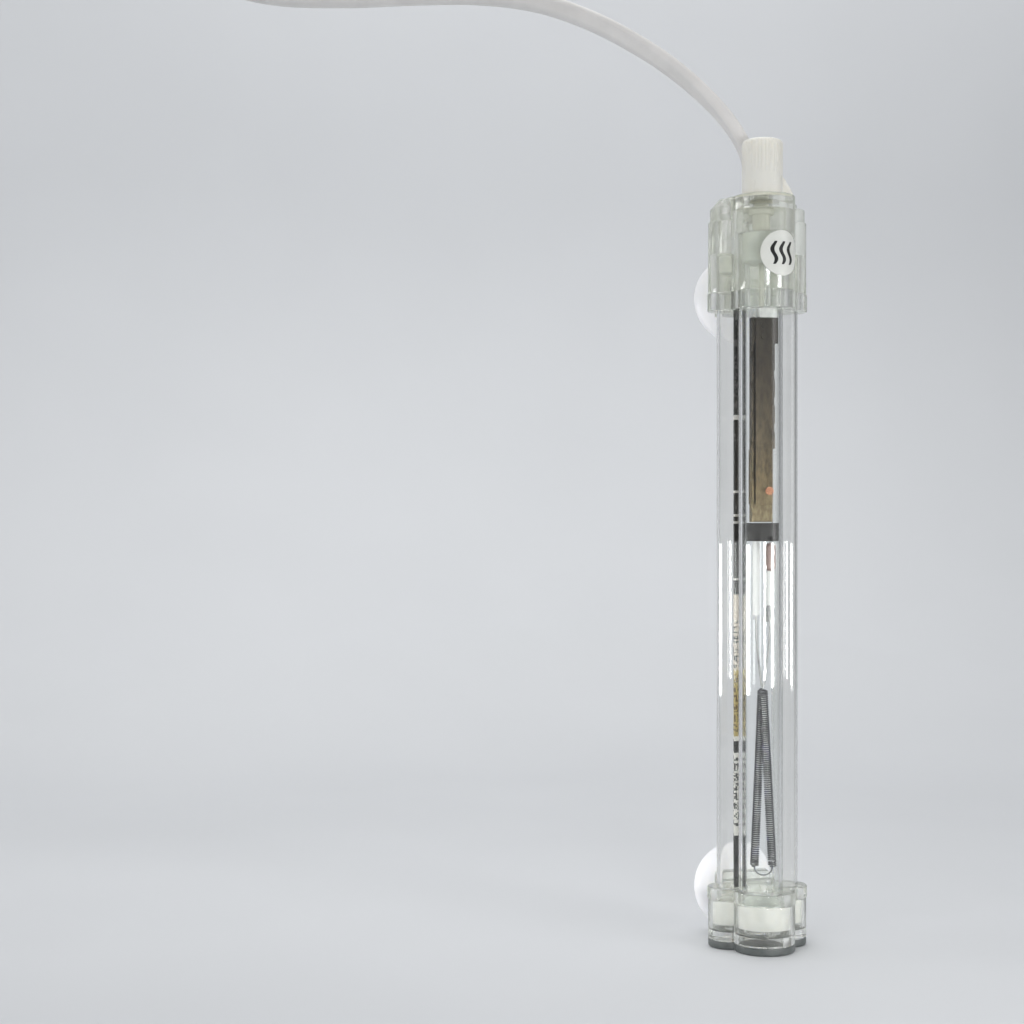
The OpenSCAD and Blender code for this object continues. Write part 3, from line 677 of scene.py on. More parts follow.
def tidy(mesh, sharp=None):
    """Welds and orients the mesh; with an angle, shades it smooth up to that many degrees."""
    bm = bmesh.new()
    bm.from_mesh(mesh)
    bmesh.ops.remove_doubles(bm, verts=bm.verts, dist=1e-7)
    bmesh.ops.recalc_face_normals(bm, faces=bm.faces)
    if sharp is not None:
        limit = math.radians(sharp)
        for face in bm.faces:
            face.smooth = True
        for edge in bm.edges:
            edge.smooth = not (len(edge.link_faces) == 2 and edge.calc_face_angle(0) > limit)
    bm.to_mesh(mesh)
    bm.free()


def give_material(mesh, material):
    mesh.materials.clear()
    mesh.materials.append(material)
    for polygon in mesh.polygons:
        polygon.material_index = 0


def make(name, shape, material, sharp=35):
    mesh = new_mesh(name, shape)
    mesh.validate()
    mesh.materials.append(material)
    ob = place_object(name, mesh)
    tidy(mesh, sharp)
    return ob


def carve(name, base, operations, material, sharp=35):
    """Object from a base shape and boolean operations, each (ADD or CUT, shape)."""

    def helper(shape):
        mesh = new_mesh("helper", shape)
        tidy(mesh)
        return place_object("helper", mesh)

    body = helper(base)
    helpers = [body]
    for operation, shape in operations:
        other = helper(shape)
        helpers.append(other)
        boolean = body.modifiers.new("boolean", "BOOLEAN")
        boolean.operation = operation
        boolean.object = other
        boolean.solver = "EXACT"
    depsgraph = bpy.context.evaluated_depsgraph_get()
    mesh = bpy.data.meshes.new_from_object(body.evaluated_get(depsgraph), depsgraph=depsgraph)
    mesh.name = name
    # close small gaps the booleans may leave
    bm = bmesh.new()
    bm.from_mesh(mesh)
    gaps = [edge for edge in bm.edges if edge.is_boundary]
    if gaps:
        bmesh.ops.holes_fill(bm, edges=gaps, sides=8)
    bm.to_mesh(mesh)
    bm.free()
    give_material(mesh, material)
    for ob in helpers:
        data = ob.data
        bpy.data.objects.remove(ob)
        bpy.data.meshes.remove(data)
    result = place_object(name, mesh)
    tidy(mesh, sharp)
    return result


ADD, CUT = "UNION", "DIFFERENCE"


def register(ob, node=None, body="housing"):
    if node:
        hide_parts(node)
    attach(ob, body)


# ---------------------------------------------------------------- clear caps, clips and foot


def sockets(z0, main_z1, side_z1):
    """Cuts for the three tubes, with a little room around them."""
    fit = 0.1
    cuts = [(CUT, cylinder(MAIN_R + fit, z0, main_z1, seg=96))]
    for side in (-1, 1):
        centre = (side * SIDE_X, SIDE_Y)
        cuts.append((CUT, cylinder(SIDE_R + fit, z0, side_z1, centre)))
    return cuts


def top_cap():
    # height, growth of all lobes, further growth of the side lobes, side lobes present
    levels = [
        (SEAM, -0.25, 0, True), (SEAM + 0.07, -0.08, 0, True), (SEAM + 0.25, 0, 0, True),
        (STEP_Z - 0.3, 0, 0, True), (STEP_Z - 0.08, 0, -0.1, True), (STEP_Z, 0, -0.3, True),
        (STEP_Z + 0.05, 0, -0.5, True), (SIDE_TOP - 0.5, 0, -0.5, True),
        (SIDE_TOP - 0.15, 0, -0.64, True), (SIDE_TOP, 0, -1.0, True),
        (SIDE_TOP + 0.02, 0, 0, False), (TOP - 0.7, 0, 0, False), (TOP - 0.3, -0.12, 0, False),
        (TOP - 0.08, -0.38, 0, False), (TOP, -0.7, 0, False)]
    base = loft([lobed_ring(*level, shoulder=True) for level in levels])
    # (radius, height) of the wide cone over the left tube and the small one over the right
    low = SIDE_TOP - 0.5
    left_cone = [(0, low), (5.3, low), (5.3, SIDE_TOP + 0.02), (5.15, SIDE_TOP + 0.3),
                 (3.3, TOP - 0.4), (3.0, TOP - 0.08), (2.7, TOP - 0.01), (0, TOP - 0.01)]
    right_cone = [(0, low), (3.45, low), (3.45, SIDE_TOP + 1.35), (3.3, SIDE_TOP + 1.6),
                  (1.5, SIDE_TOP + 2.5), (1.1, SIDE_TOP + 2.6), (0, SIDE_TOP + 2.6)]
    floor = main_hi.z + 0.1
    gland_axis = (0, GLAND_Y)
    operations = [
        (ADD, lathe(left_cone, 72, "Z", (-SIDE_X, SIDE_Y, 0))),
        (ADD, lathe(right_cone, 72, "Z", (SIDE_X, SIDE_Y, 0))),
        *sockets(SEAM - 1, main_hi.z + 0.12, left_hi.z + 0.6),
        # chamber over the main tube, shallow pocket in the top, spindle hole and its wider part
        (CUT, cylinder(6.6, floor, CHAMBER_TOP)),
        (CUT, cylinder(7.7, TOP - 0.8, TOP + 1, seg=96)),
        (CUT, cylinder(2.05, CHAMBER_TOP - 1, TOP + 1, seg=48)),
        (CUT, cylinder(3.2, TOP - 2.7, TOP - 1.5, seg=48)),
        # gland hole, the space below it and the passage to the chamber
        (CUT, cylinder(3.3, CHAMBER_TOP - 1, TOP + 2, gland_axis, 48)),
        (CUT, cylinder(4.1, floor, CHAMBER_TOP, gland_axis)),
        (CUT, round_box((-3.4, 0, floor), (3.4, GLAND_Y, CHAMBER_TOP), 0.8, "Y")),
    ]
    ob = carve("top_cap_moulding", base, operations, MATS["cap_clear_plastic"])
    register(ob, "top_cap")


def bottom_cap():
    """Hollow cap with a round hole in its floor and four pegs under the tube seat."""
    base = lobed_prism(FOOT_TOP, BOTTOM_CAP_TOP, low_round=0.3, high_round=0.25)
    hollow = lobed_prism(5.0, BOTTOM_CAP_TOP + 1, grow=-1.2, low_round=0.8, high_round=0)
    operations = [(CUT, hollow), (CUT, cylinder(5.8, FOOT_TOP - 1, 6, seg=96))]
    for place in ((SIDE_X, SIDE_Y), (-SIDE_X, SIDE_Y), (0, -8.2), (0, GLAND_Y)):
        operations.append((ADD, cylinder(1.3, 4.4, SEAT_BOTTOM - 0.01, place, 32)))
    ob = carve("bottom_cap_moulding", base, operations, MATS["low_cap_clear_plastic"])
    register(ob, "bottom_cap")


def cup_clip(name, node, z0, z1, cup_z):
    """Collar around the tubes with a square back plate and a stepped bore for a cup's neck."""
    back, half_width, plate_half = clip_hi.y, 9, 6.5
    bore = [(0, 16.2), (4.4, 16.2), (4.4, 18.2), (3.05, 18.2), (3.05, back + 1), (0, back + 1)]
    operations = [
        (ADD, round_box((-half_width, 12, z0), (half_width, back, z1), 0.5, "Z")),
        (ADD, round_box((-half_width, 16.5, cup_z - plate_half),
                        (half_width, back, cup_z + plate_half), 1.6, "Y", steps=6)),
        *sockets(z0 - 1, z1 + 1, z1 + 1),
        (CUT, lathe(bore, 64, "Y", (0, 0, cup_z))),
    ]
    base = lobed_prism(z0, z1, grow=0.25, low_round=0.35, high_round=0.35)
    ob = carve(name, base, operations, MATS["clip_clear_plastic"])
    register(ob, node)


top_cap()
bottom_cap()
cup_clip("upper_clip_moulding", "upper_cup_clip", clip_lo.z, SEAM - 0.02, UPPER_CUP_Z)
cup_clip("lower_clip_moulding", "lower_cup_clip", BOTTOM_CAP_TOP + 0.02, 18.0, LOWER_CUP_Z)
# Its dark grey is painted shade, for the dark band seen through the bottom edge of the cap.
foot = make("foot_pad", lobed_prism(0, FOOT_TOP - 0.01, low_round=0.7, high_round=0.15),
            MATS["foot_rubber"])
register(foot, "foot_plate")

# ---------------------------------------------------------------- glass tubes


def glass_tube(name, node, radius, wall, z0, z1, centre, material):
    """Round-bottomed tube, open at the top with a rounded lip."""
    bottom_steps, straight_steps, lip_steps = 16, 24, 8
    inner = radius - wall
    lip_z = z1 - wall / 2
    heights = [z0 + radius + (lip_z - z0 - radius) * i / straight_steps
               for i in range(straight_steps + 1)]

    def bottom(r):
        angles = [math.pi / 2 * i / bottom_steps for i in range(bottom_steps + 1)]
        return [(r * math.sin(a), z0 + radius - r * math.cos(a)) for a in angles]

    profile = bottom(radius) + [(radius, z) for z in heights[1:]]
    for i in range(1, lip_steps):
        angle = math.pi * i / lip_steps
        profile.append((radius - wall / 2 + wall / 2 * math.cos(angle),
                        lip_z + wall / 2 * math.sin(angle)))
    profile += [(inner, z) for z in heights[::-1]]
    profile += bottom(inner)[-2::-1]
    ob = make(name, lathe(profile, 128, "Z", (*centre, 0)), material, sharp=60)
    register(ob, node)


glass_tube("main_glass_tube", "main_tube", MAIN_R, 1.0, main_lo.z, main_hi.z, (0, 0),
           MATS["quartz_glass"])
glass_tube("left_glass_tube", "left_side_tube", SIDE_R, 0.7, left_lo.z, left_hi.z,
           (-SIDE_X, SIDE_Y), MATS["side_tube_glass"])
glass_tube("right_glass_tube", "right_side_tube", SIDE_R, 0.7, right_lo.z, right_hi.z,
           (SIDE_X, SIDE_Y), MATS["side_tube_glass"])

# ---------------------------------------------------------------- knob


def knob_body():
    """Fluted cap with a shallow round recess in its top, hollow below around a socket."""
    z0, z1 = knob_lo.z, knob_hi.z
    radius = (knob_hi.y - knob_lo.y) / 2
    top_round, seg, flutes, flute_depth = 1.5, 432, 36, 0.13
    # radius, height, strength of the flutes
    profile = [(0, z1 - 0.9, 0), (3.5, z1 - 0.9, 0), (3.78, z1 - 0.82, 0), (3.9, z1 - 0.6, 0),
               (3.94, z1 - 0.2, 0), (4.02, z1 - 0.06, 0), (4.2, z1, 0)]
    for i in range(9):
        angle = math.pi / 2 * i / 8
        profile.append((radius - top_round + top_round * math.sin(angle),
                        z1 - top_round + top_round * math.cos(angle),
                        min(1.0, max(0.0, (i - 3) / 4))))
    for z, strength in ((z1 - 4, 1), (z1 - 7, 1), (z0 + 8.2, 1), (z0 + 7.2, 0.8),
                        (z0 + 6.6, 0.3), (z0 + 6.3, 0), (z0 + 3, 0), (z0 + 0.35, 0)):
        profile.append((radius, z, strength))
    profile += [
        (radius - 0.1, z0 + 0.1, 0), (radius - 0.35, z0, 0), (4.9, z0, 0), (4.7, z0 + 0.2, 0),
        (4.7, z0 + 9.7, 0), (4.4, z0 + 10, 0), (3.5, z0 + 10, 0), (3.2, z0 + 9.7, 0),
        (3.2, z0 + 0.2, 0), (3.0, z0, 0), (2.2, z0, 0), (2.02, z0 + 0.2, 0),
        (2.02, z0 + 9.8, 0), (1.8, z0 + 10, 0), (0, z0 + 10, 0)]
    rings = []
    for r, z, strength in profile:
        if r < 1e-6:
            rings.append([(0, 0, z)])
            continue
        ring = []
        for j in range(seg):
            angle = 2 * math.pi * j / seg
            crest = (0.5 + 0.5 * math.cos(flutes * angle)) ** 3
            reach = r - flute_depth * strength * crest
            ring.append((reach * math.cos(angle), reach * math.sin(angle), z))
        rings.append(ring)
    return stitch(rings)


def knob_pointer():
    """Tapering wing that stands out from the foot of the knob towards +X."""
    root, length = 5.2, 4.3
    # x, height above the knob's foot
    outline = [(root, 0), (9.15, 0), (9.45, 0.2), (9.5, 0.55), (9.3, 1.1), (8.5, 2.5),
               (7.6, 4.0), (6.8, 5.3), (6.1, 6.0), (root, 6.1)]
    rings = []
    # share of the half thickness, inset of the outline
    for share, inset in ((-1.0, 0.35), (-0.8, 0.1), (-0.55, 0.0),
                         (0.55, 0.0), (0.8, 0.1), (1.0, 0.35)):
        ring = []
        for x, height in outline:
            half = 1.7 - 0.55 * (x - root) / length
            inset_x = inset if x > 6 else 0
            inset_z = inset if height > 0.3 and x > root + 0.1 else 0
            ring.append((x - inset_x, half * share, knob_lo.z + height - inset_z))
        rings.append(ring)
    return loft(rings)


knob = carve("knob_cap", knob_body(), [(ADD, knob_pointer())], MATS["knob_plastic"], sharp=40)
register(knob, "temperature_knob", body="knob")

# ---------------------------------------------------------------- scale ring and its ticks
SCALE_TOP = ring_hi.z - 0.06


def scale_disc():
    inner, outer = 2.4, 7.66
    z0, z1 = ring_lo.z + 0.01, SCALE_TOP
    base = lathe([(inner, z0), (outer - 0.1, z0), (outer, z0 + 0.1), (outer, z1 - 0.12),
                  (outer - 0.12, z1), (inner, z1)], 128)
    gland_hole = cylinder(3.45, z0 - 1, z1 + 1, (0, GLAND_Y), 48)
    ob = carve("scale_disc", base, [(CUT, gland_hole)], MATS["scale_ring_white"])
    register(ob, "scale_ring")


def scale_ticks():
    """57 ticks over 280 degrees, every seventh longer and wider."""
    verts, faces = [], []
    for i in range(57):
        angle = math.radians(-230 + 280 * i / 56)
        inner, outer, half = (6.3, 7.5, 0.09) if i % 7 == 0 else (6.9, 7.5, 0.05)
        ca, sa = math.cos(angle), math.sin(angle)
        b = len(verts)
        for z in (SCALE_TOP, ring_hi.z - 0.01):
            for r, side in ((inner, -1), (outer, -1), (outer, 1), (inner, 1)):
                verts.append((r * ca - side * half * sa, r * sa + side * half * ca, z))
        faces += [(b, b + 3, b + 2, b + 1), (b + 4, b + 5, b + 6, b + 7)]
        for j in range(4):
            k = (j + 1) % 4
            faces.append((b + j, b + k, b + 4 + k, b + 4 + j))
    register(make("scale_ticks", (verts, faces), MATS["scale_ink_red"]))


scale_disc()
scale_ticks()

# ---------------------------------------------------------------- sticker with three heat waves
STICKER_ANGLE = math.radians(-72)
STICKER_Z = (sticker_lo.z + sticker_hi.z) / 2
STICKER_R = (sticker_hi.z - sticker_lo.z) / 2


def curved_patch(name, outline, inner, outer, material, nu, nv):
    """Thin patch between two distances off the cap's front lobe.

    outline(u, v) gives the distance around the lobe and the height, for u and v in 0..1.
    """
    verts, faces = [], []
    for off in (outer, inner):
        for i in range(nu + 1):
            for j in range(nv + 1):
                around, height = outline(i / nu, j / nv)
                angle = STICKER_ANGLE + around / FRONT_LOBE_R
                r = FRONT_LOBE_R + off
                verts.append((r * math.cos(angle), FRONT_Y + r * math.sin(angle),
                              STICKER_Z + height))
    row = nv + 1
    under = (nu + 1) * row
    for i in range(nu):
        for j in range(nv):
            a, b = i * row + j, (i + 1) * row + j
            faces.append((a, b, b + 1, a + 1))
            faces.append((under + a, under + a + 1, under + b + 1, under + b))
    rim = [i * row for i in range(nu)] + [nu * row + j for j in range(nv)]
    rim += [i * row + nv for i in range(nu, 0, -1)] + list(range(nv, 0, -1))
    for a, b in zip(rim, rim[1:] + rim[:1]):
        faces.append((a, b, under + b, under + a))
    return make(name, (verts, faces), material, sharp=50)


def disc_outline(u, v):
    """Square grid bent to a disc."""
    x, y = 2 * u - 1, 2 * v - 1
    r = STICKER_R * 0.995
    return r * x * math.sqrt(1 - y * y / 2), r * y * math.sqrt(1 - x * x / 2)


def wave_outline(middle):
    """Upright wavy stroke, a little narrower at its ends."""
    height, swing, half_width, waves = 6.8, 0.62, 0.62, 1.15

    def outline(u, v):
        half = half_width * (1.0 - 0.35 * abs(2 * v - 1) ** 3)
        bend = swing * math.sin(v * 2 * math.pi * waves)
        return middle + bend + (u - 0.5) * 2 * half, height * (v - 0.5)

    return outline


sticker = curved_patch("round_sticker", disc_outline, 0.06, 0.19, MATS["sticker_gloss"], 40, 40)
register(sticker, "rating_sticker")
for number, middle in enumerate((-2.6, 0.1, 2.8), 1):
    stroke = curved_patch(f"heat_wave_{number}", wave_outline(middle), 0.19, 0.23,
                          MATS["black_ink"], 4, 36)
    register(stroke)

# ---------------------------------------------------------------- suction cups


def suction_cup(name, node, z, body):
    """Knobbed neck and a bell that opens to the back, with fine ridges inside."""
    y0, bell_r, bell_y, bell_steps = upper_cup_lo.y, 4.75, 22.6, 28
    rim_y, hollow_depth, hollow_steps = CUP_RIM_Y, 3.2, 24
    # (radius, y) of the neck
    profile = [
        (0, y0), (3.7, y0), (4.1, y0 + 0.25), (4.2, y0 + 0.7), (4.2, y0 + 1.2),
        (4.0, y0 + 1.45), (3.3, y0 + 1.5), (3.0, y0 + 1.58), (3.0, 21.42), (3.15, 21.5),
        (4.2, 21.5), (4.5, 21.65), (4.6, 21.95), (4.6, 22.3), (bell_r, bell_y)]
    for i in range(1, bell_steps + 1):
        t = i / bell_steps
        rise = 0.75 * (1 - math.sqrt(1 - t * t)) + 0.25 * t
        profile.append((bell_r + (CUP_R - bell_r) * t, bell_y + (rim_y - 0.35 - bell_y) * rise))
    profile += [(CUP_R - 0.05, rim_y - 0.12), (CUP_R - 0.2, rim_y), (CUP_R - 0.6, rim_y),
                (CUP_R - 1.25, rim_y), (CUP_R - 1.4, rim_y - 0.08)]
    lip = CUP_R - 1.3
    for i in range(hollow_steps - 1, 0, -1):
        angle = math.pi / 2 * i / hollow_steps
        r = lip * math.sin(angle)
        ridge = 0.10 * max(0.0, math.cos(r * 2 * math.pi / 2.4)) ** 6 if 3 < r < lip - 1 else 0
        profile.append((r, rim_y - hollow_depth * math.cos(angle) + ridge))
    profile.append((0, rim_y - hollow_depth))
    ob = make(name, lathe(profile, 128, "Y", (0, 0, z)), MATS["cup_pvc"], sharp=50)
    register(ob, node, body)


suction_cup("upper_cup_moulding", "suction_cup_upper", UPPER_CUP_Z, "upper_cup")
suction_cup("lower_cup_moulding", "suction_cup_lower", LOWER_CUP_Z, "lower_cup")

# ---------------------------------------------------------------- cord
CORD_END_Z = 300
# (x, z) stations in the plane of the gland's axis, from the gland to the plug
CORD_ROUTE = (
    (0, 219.5), (0, 224), (0, 229), (-0.6, 235), (-2.4, 241.5), (-6.4, 248.2), (-12.6, 255.2),
    (-22.4, 263.6), (-34, 271.1), (-50, 278.8), (-67, 283.7), (-85, 285.1), (-104, 284.2),
    (-124, 282.6), (-144, 282.4), (-158, 285.2), (-168, 291.2), (-177, 297.6),
    (-185, CORD_END_Z), (-190, CORD_END_Z), (-193, CORD_END_Z), (-200, CORD_END_Z))


def cord_section():
    """Flat oval with a shallow groove between the cord's two cores."""
    core_r, core_offset, count = 2.17, 0.8, 40
    section = []
    for j in range(count):
        angle = 2 * math.pi * (j + 0.5) / count
        x = core_r * math.cos(angle)
        y = core_r * math.sin(angle) + (core_offset if math.sin(angle) > 0 else -core_offset)
        groove = math.exp(-(y / 0.75) ** 2) * 0.22 if abs(x) > 1.2 else 0
        section.append((x * (1 - groove), y))
    return section


def cord():
    """The flat cord makes a quarter turn about its path between stations 4 and 10.5."""
    steps, turn_start, turn_length = 10, 4, 6.5
    path = catmull([(x, GLAND_Y, z) for x, z in CORD_ROUTE], steps)
    turns = []
    for i in range(len(path)):
        share = min(1, max(0, (i / steps - turn_start) / turn_length))
        turns.append(math.pi / 2 * smoothstep(share))
    ob = make("cord_flex", sweep(path, cord_section(), turns=turns), MATS["cord_pvc"], sharp=60)
    register(ob, "power_cord")


cord()

# ---------------------------------------------------------------- plug


def plug_ring(x, half_y, half_z, squareness):
    """Superellipse across the plug; squareness 2 is round."""
    points = []
    for j in range(96):
        angle = 2 * math.pi * j / 96
        c, s = math.cos(angle), math.sin(angle)
        power = 2 / squareness
        points.append((x, PLUG_Y + half_y * math.copysign(abs(c) ** power, c),
                       PLUG_Z + half_z * math.copysign(abs(s) ** power, s)))
    return points


def plug_body():
    """Ribbed round tail, a flare, a waisted grip and a rounded face, from right to left."""
    tail_x, grip_x, square = -192.0, -192.0 - 16.3, 3.2
    half_y, half_z = (plug_hi.y - plug_lo.y) / 2, (plug_hi.z - plug_lo.z) / 2
    grip_y, grip_z, flare_r, edge = half_y - 0.8, half_z - 0.25, 6.0, 1.2
    rings = [plug_ring(tail_x, 3.6, 3.6, 2), plug_ring(tail_x - 0.15, 4.1, 4.1, 2)]
    for i in range(1, 25):
        rib = 0.35 * (0.5 - 0.5 * math.cos(2 * math.pi * i / 5)) ** 2
        r = 4.3 + 1.7 * i / 25 - rib
        rings.append(plug_ring(tail_x - 0.3 - 10.4 * i / 25, r, r, 2))
    for i in range(1, 13):
        t = i / 12
        s = smoothstep(t)
        rings.append(plug_ring(tail_x - 10.8 - 5.5 * t, flare_r + (grip_y - flare_r) * s,
                               flare_r + (grip_z - flare_r) * s, 2 + (square - 2) * s))
    for i in range(1, 15):
        t = i / 14
        waist = 0.9 * math.exp(-((t - 0.35) / 0.22) ** 2)
        rib = 0.16 * (0.5 - 0.5 * math.cos(2 * math.pi * t * 5)) if 0.05 < t < 0.62 else 0
        rings.append(plug_ring(grip_x - (grip_x - PLUG_FACE_X - edge) * t,
                               half_y - 0.8 * (1 - t) - waist, half_z - 0.25 * (1 - t) - rib,
                               square))
    for degrees in (15, 35, 60, 90):
        angle = math.radians(degrees)
        inset = edge * (1 - math.cos(angle))
        rings.append(plug_ring(PLUG_FACE_X + edge * (1 - math.sin(angle)),
                               half_y - inset, half_z - inset, square))
    return loft(rings)


def plug():
    cuts = []
    deep, out = -PLUG_FACE_X - 12, -PLUG_FACE_X + 1
    for side in (-1, 1):
        hole = [(0, deep), (2.02, deep), (2.02, out), (0, out)]
        cuts.append((CUT, lathe(hole, 40, "X", (0, PLUG_Y + side * PIN_OFFSET, PLUG_Z))))
    cord_path = [Vector((x, GLAND_Y, CORD_END_Z)) for x in (-190.0, -195, -200.2)]
    loose = [(x * 1.03, y * 1.03) for x, y in cord_section()]
    cuts.append((CUT, sweep(cord_path, loose, turns=[math.pi / 2] * 3)))
    ob = carve("plug_moulding", plug_body(), cuts, MATS["plug_pvc"], sharp=40)
    register(ob, "plug_body")


def plug_pins():
    """Two round-tipped pins, with sleeves on the half next to the plug."""
    # distances to the left of x = 0
    start, end, face = -pins_hi.x, -pins_lo.x, -PLUG_FACE_X
    pin_r, sleeve_r, tip_round = 2.0, 1.98, 1.6
    tip = []
    for degrees in (0, 20, 40, 60, 80):
        angle = math.radians(degrees)
        tip.append((pin_r - tip_round * (1 - math.cos(angle)),
                    end - tip_round * (1 - math.sin(angle))))
    metal = [(0, start), (1.85, start), (1.85, face + 9.9), (1.98, face + 10.0), *tip, (0, end)]
    sleeve = [(1.86, face - 3), (sleeve_r, face - 3), (sleeve_r, face + 9.6),
              (1.92, face + 9.85), (1.86, face + 9.85)]

    def pair(profile):
        return merge(*(lathe(profile, 40, "X", (0, PLUG_Y + side * PIN_OFFSET, PLUG_Z))
                       for side in (-1, 1)))

    register(make("plug_pin_metal", pair(metal), MATS["nickel_plate"], sharp=40),
             "plug_pins")
    register(make("plug_pin_sleeves", pair(sleeve), MATS["pin_sleeve"], sharp=40))


plug()
plug_pins()

# ---------------------------------------------------------------- coil and leads
COIL_LEFT_TOP, COIL_LEFT_LOW = Vector((0.24, 1.55, 78)), Vector((-2.35, 0.5, 24.5))
COIL_RIGHT_LOW, COIL_RIGHT_TOP = Vector((2.95, -0.5, 24.5)), Vector((-0.24, -1.55, 78))


def heating_coil():
    """Two wound legs joined by a plain bend at the bottom."""
    turns, per_turn, coil_r, wire_r, bend_depth = 90, 16, 1.15, 0.21, 2.4
    count = turns * per_turn

    def leg(start, end):
        points = []
        for i in range(count + 1):
            t = i / count
            # the winding grows from nothing over almost a turn at each end
            spread = min(1, min(i, count - i) / (per_turn * 0.9))
            angle = 2 * math.pi * turns * t
            # slightly uneven pitch, as a hand-stretched coil has
            uneven = 0.004 * math.sin(9 * t * math.pi) if 0.03 < t < 0.97 else 0
            around = Vector((math.cos(angle), math.sin(angle), 0)) * coil_r * spread
            points.append(start.lerp(end, t + uneven) + around)
        return points

    middle = (COIL_LEFT_LOW + COIL_RIGHT_LOW) / 2
    half = (COIL_RIGHT_LOW - COIL_LEFT_LOW) / 2
    bend = []
    for i in range(1, 12):
        angle = math.pi + math.pi * i / 12
        bend.append(middle + half * math.cos(angle)
                    + Vector((0, 0, bend_depth * math.sin(angle))))
    path = leg(COIL_LEFT_TOP, COIL_LEFT_LOW) + bend + leg(COIL_RIGHT_LOW, COIL_RIGHT_TOP)
    shape = sweep(path, circle(wire_r, 7), Vector((0.02, 1, 0.01)))
    ob = make("resistance_coil", shape, MATS["resistance_wire"], sharp=80)
    register(ob, "heating_coil")


def coil_leads():
    """Bare wires from above down to the coil's two ends, and a short rod higher on the right."""
    left = [(-1.95, 0, 127.5), (-1.95, 0, 118), (-1.95, 0, 108), (-1.95, 0, 99.5),
            (-1.7, 0.1, 92), (-0.8, 0.9, 85), (0.24, 1.55, 78.4)]
    right = [(2.4, 0, 113.2), (2.4, 0, 108), (2.35, 0, 103), (2.3, 0, 98),
             (2.1, -0.1, 92), (1.0, -0.9, 85), (-0.24, -1.55, 78.4)]
    wires = [sweep(catmull(route, 10), circle(0.31, 14)) for route in (left, right)]
    shape = merge(*wires, cylinder(0.33, 121.7, 127.5, (2.5, 0), 14))
    ob = make("coil_leads", shape, MATS["tinned_metal"], sharp=60)
    register(ob, "heater_leads")


def supply_leads():
    """Two insulated leads from the gland forward and down, mirrored in x."""
    route = [(1.1, GLAND_Y, 219.4), (1.3, 9.4, 218.2), (2.2, 7.4, 217.2), (3.0, 4.6, 216.6),
             (3.1, 2.8, 215.8), (3.1, 2.4, 214), (3.1, 2.4, 208), (3.1, 2.4, 202),
             (3.1, 2.4, 196), (3.0, 2.5, 189.4)]
    leads = []
    for side in (-1, 1):
        path = catmull([(side * x, y, z) for x, y, z in route], 8)
        leads.append(sweep(path, circle(0.58, 16), Vector((1, 0, 0.02))))
    ob = make("inner_supply_leads", merge(*leads), MATS["lead_insulation"], sharp=60)
    register(ob, "supply_leads")


heating_coil()
coil_leads()
supply_leads()

# ---------------------------------------------------------------- CAD nodes whose shape stays
# node, material, width of the edge rounding in mm
KEPT_NODES = (
    ("tube_seat", "silicone_white", 0.25),
    ("main_tube_plug", "silicone_white", 0.3),
    ("side_tube_plugs", "silicone_white", 0.3),
    ("knob_spindle", "spindle_plastic", 0.12),
    ("spindle_o_ring", "o_ring_rubber", 0),
    ("adjuster_pin", "spindle_plastic", 0.04),
    ("ceramic_block", "white_ceramic", 0.2),
    ("thermostat_frame", "thermostat_frame_steel", 0.06),
    ("frame_rivets", "thermostat_frame_steel", 0.12),
    ("bimetal_strip", "bimetal_brown", 0.06),
    ("moving_contact", "copper", 0.14),
    ("fixed_contact", "silver_contact", 0.1),
    ("snap_magnet", "magnet_grey", 0.12),
    ("contact_leaf", "thermostat_frame_steel", 0.04),
    ("insulating_plug", "black_fibre", 0.15),
    ("left_lead_sleeve", "glass_fibre_sleeve", 0.08),
    ("thermal_fuse", "fuse_body", 0.15),
    ("right_lead_sleeve", "glass_fibre_sleeve", 0.1),
    ("lead_crimp", "tinned_metal", 0.08),
    ("coil_cores", "white_ceramic", 0.1),
    ("label_film", "film_print", 0),
    ("cable_gland", "silicone_white", 0.2),
)
for node, mat_name, rounding in KEPT_NODES:
    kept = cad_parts[node]
    give_material(kept.data, MATS[mat_name])
    kept.modifiers.new("weld", "WELD").merge_threshold = 1e-6
    if rounding:
        bevel = kept.modifiers.new("bevel", "BEVEL")
        bevel.width = rounding * MM
        bevel.segments = 2
        bevel.limit_method = "ANGLE"
        bevel.angle_limit = math.radians(35)

# ---------------------------------------------------------------- floor


def floor_sweep():
    """Floor that curves up into a wall behind the heater."""
    half_width, front, back, bend_r, wall_top, drop = 2200, -1500, 700, 350, 1600, 0.02
    profile = [(front, 0), (back - bend_r, 0)]
    for i in range(1, 17):
        angle = math.pi / 2 * i / 16
        profile.append((back - bend_r + bend_r * math.sin(angle),
                        bend_r - bend_r * math.cos(angle)))
    profile.append((back, wall_top))
    verts = [(x, y, z - drop) for y, z in profile for x in (-half_width, half_width)]
    faces = [(2 * i, 2 * i + 1, 2 * i + 3, 2 * i + 2) for i in range(len(profile) - 1)]
    make("floor_sweep", (verts, faces), pale_floor("pale_floor"), sharp=89)


floor_sweep()

# ---------------------------------------------------------------- lights, in metres
# Level directions of the view and of its right-hand side
VIEW = Vector((0.156, 0.988, 0)).normalized()
VIEW_RIGHT = Vector((0.988, -0.156, 0)).normalized()


def area_light(name, place, target, width, height, power, spread=None):
    light = bpy.data.lights.new(name, "AREA")
    light.shape = "RECTANGLE"
    light.size, light.size_y = width, height
    light.energy = power
    if spread:
        light.spread = math.radians(spread)
    ob = place_object(name, light)
    ob.location = place
    ob.rotation_mode = "QUATERNION"
    ob.rotation_quaternion = (Vector(target) - Vector(place)).to_track_quat("-Z", "Y")


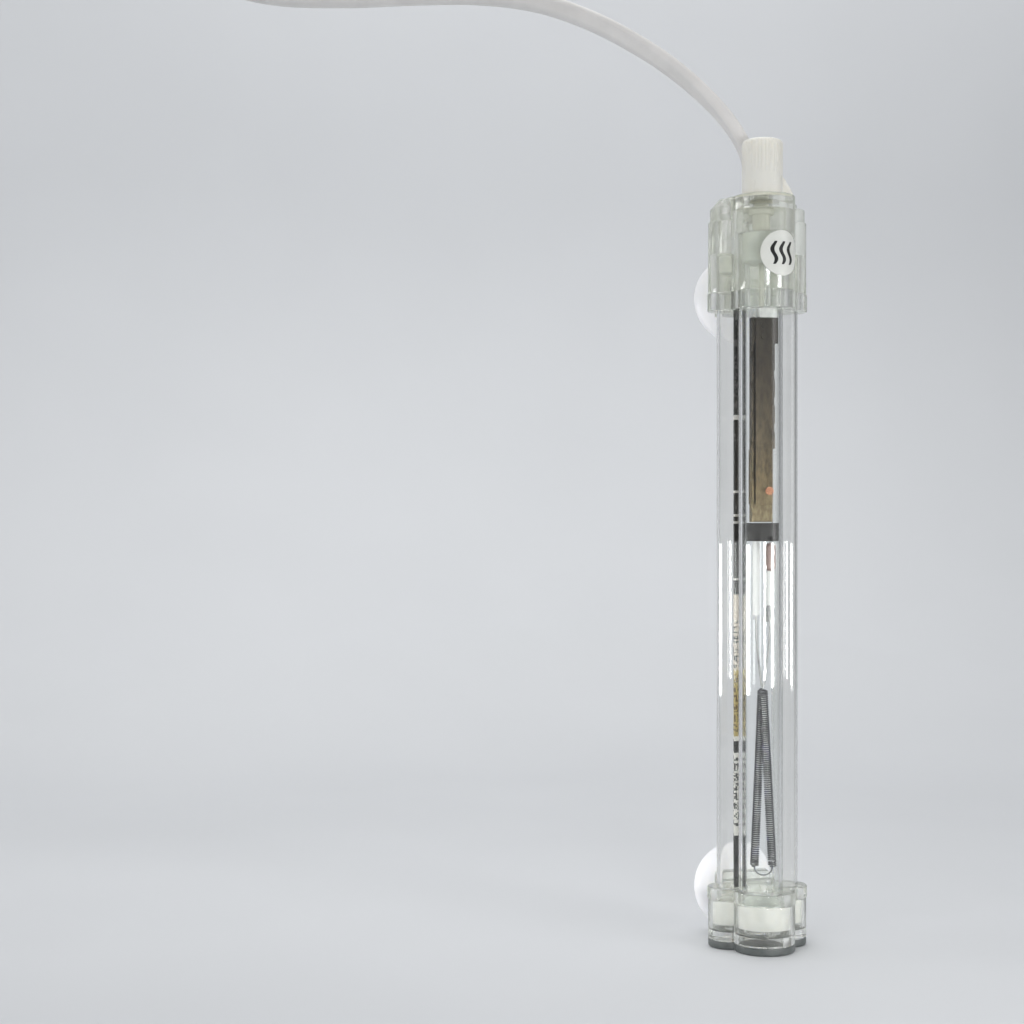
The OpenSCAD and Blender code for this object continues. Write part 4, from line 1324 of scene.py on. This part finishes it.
# name, place, target, width, height, power in watts
for lamp in (("key", (-0.75, -0.75, 0.95), (0, 0, 0.12), 0.7, 0.7, 4.2),
             ("fill", (0.9, -0.6, 0.5), (0, 0, 0.12), 0.5, 0.9, 1.8),
             ("top", (0, 0.1, 1.2), (0, 0, 0.1), 0.9, 0.9, 3.0),
             ("back", (0.1, 0.45, 0.9), (0, 0.7, 0.15), 1.2, 0.5, 2.5)):
    area_light(*lamp)

# Low cards whose reflections make bright stripes half way up the tubes; their narrow spread
# keeps them off the floor.
# name, degrees from the camera's side towards the right, distance, width, power in watts
for name, degrees, distance, width, power in (("stripe_front", 6, 0.60, 0.13, 0.10),
                                              ("stripe_left", -97, 0.50, 0.26, 0.12),
                                              ("stripe_right", 52, 0.55, 0.16, 0.08)):
    angle = math.radians(degrees)
    direction = -math.cos(angle) * VIEW + math.sin(angle) * VIEW_RIGHT
    area_light(name, direction * distance + Vector((0, 0, 0.070)), (0, 0, 0.085),
               width, height=0.085, power=power, spread=40)

# ---------------------------------------------------------------- world


def soft_world():
    """Soft light, with a paler backdrop where the camera looks past the floor."""
    world = bpy.data.worlds.new("soft_world")
    scene.world = world
    graph = Graph(world)
    light = graph.tree.nodes["Background"]
    graph.feed(light, {"Color": (0.80, 0.81, 0.82, 1), "Strength": 0.38})
    seen = graph.add("Background", {"Color": (0.50, 0.515, 0.53, 1), "Strength": 1.0})
    path = graph.add("LightPath")
    looking = graph.calc("MAXIMUM", path.outputs["Is Camera Ray"],
                         path.outputs["Is Transmission Ray"])
    graph.output = graph.tree.nodes["World Output"]
    graph.finish(graph.mix_shader(looking, light.outputs[0], seen.outputs[0]))


soft_world()

# ---------------------------------------------------------------- camera and render settings
camera = bpy.data.cameras.new("camera")
camera.lens = 64.9
camera.sensor_width = 36
camera.clip_start = 0.01
camera_ob = place_object("camera", camera)
camera_ob.location = -0.554 * VIEW - 0.07515 * VIEW_RIGHT + Vector((0, 0, 0.131))
camera_ob.rotation_mode = "QUATERNION"
camera_ob.rotation_quaternion = VIEW.to_track_quat("-Z", "Y")
scene.camera = camera_ob
scene.view_settings.view_transform = "Standard"
# Many bounces, for the nested clear walls
scene.cycles.max_bounces = 28
scene.cycles.transmission_bounces = 26
scene.cycles.transparent_max_bounces = 40
scene.cycles.glossy_bounces = 6
scene.cycles.diffuse_bounces = 4
scene.cycles.sample_clamp_indirect = 6.0
scene.cycles.caustics_refractive = True
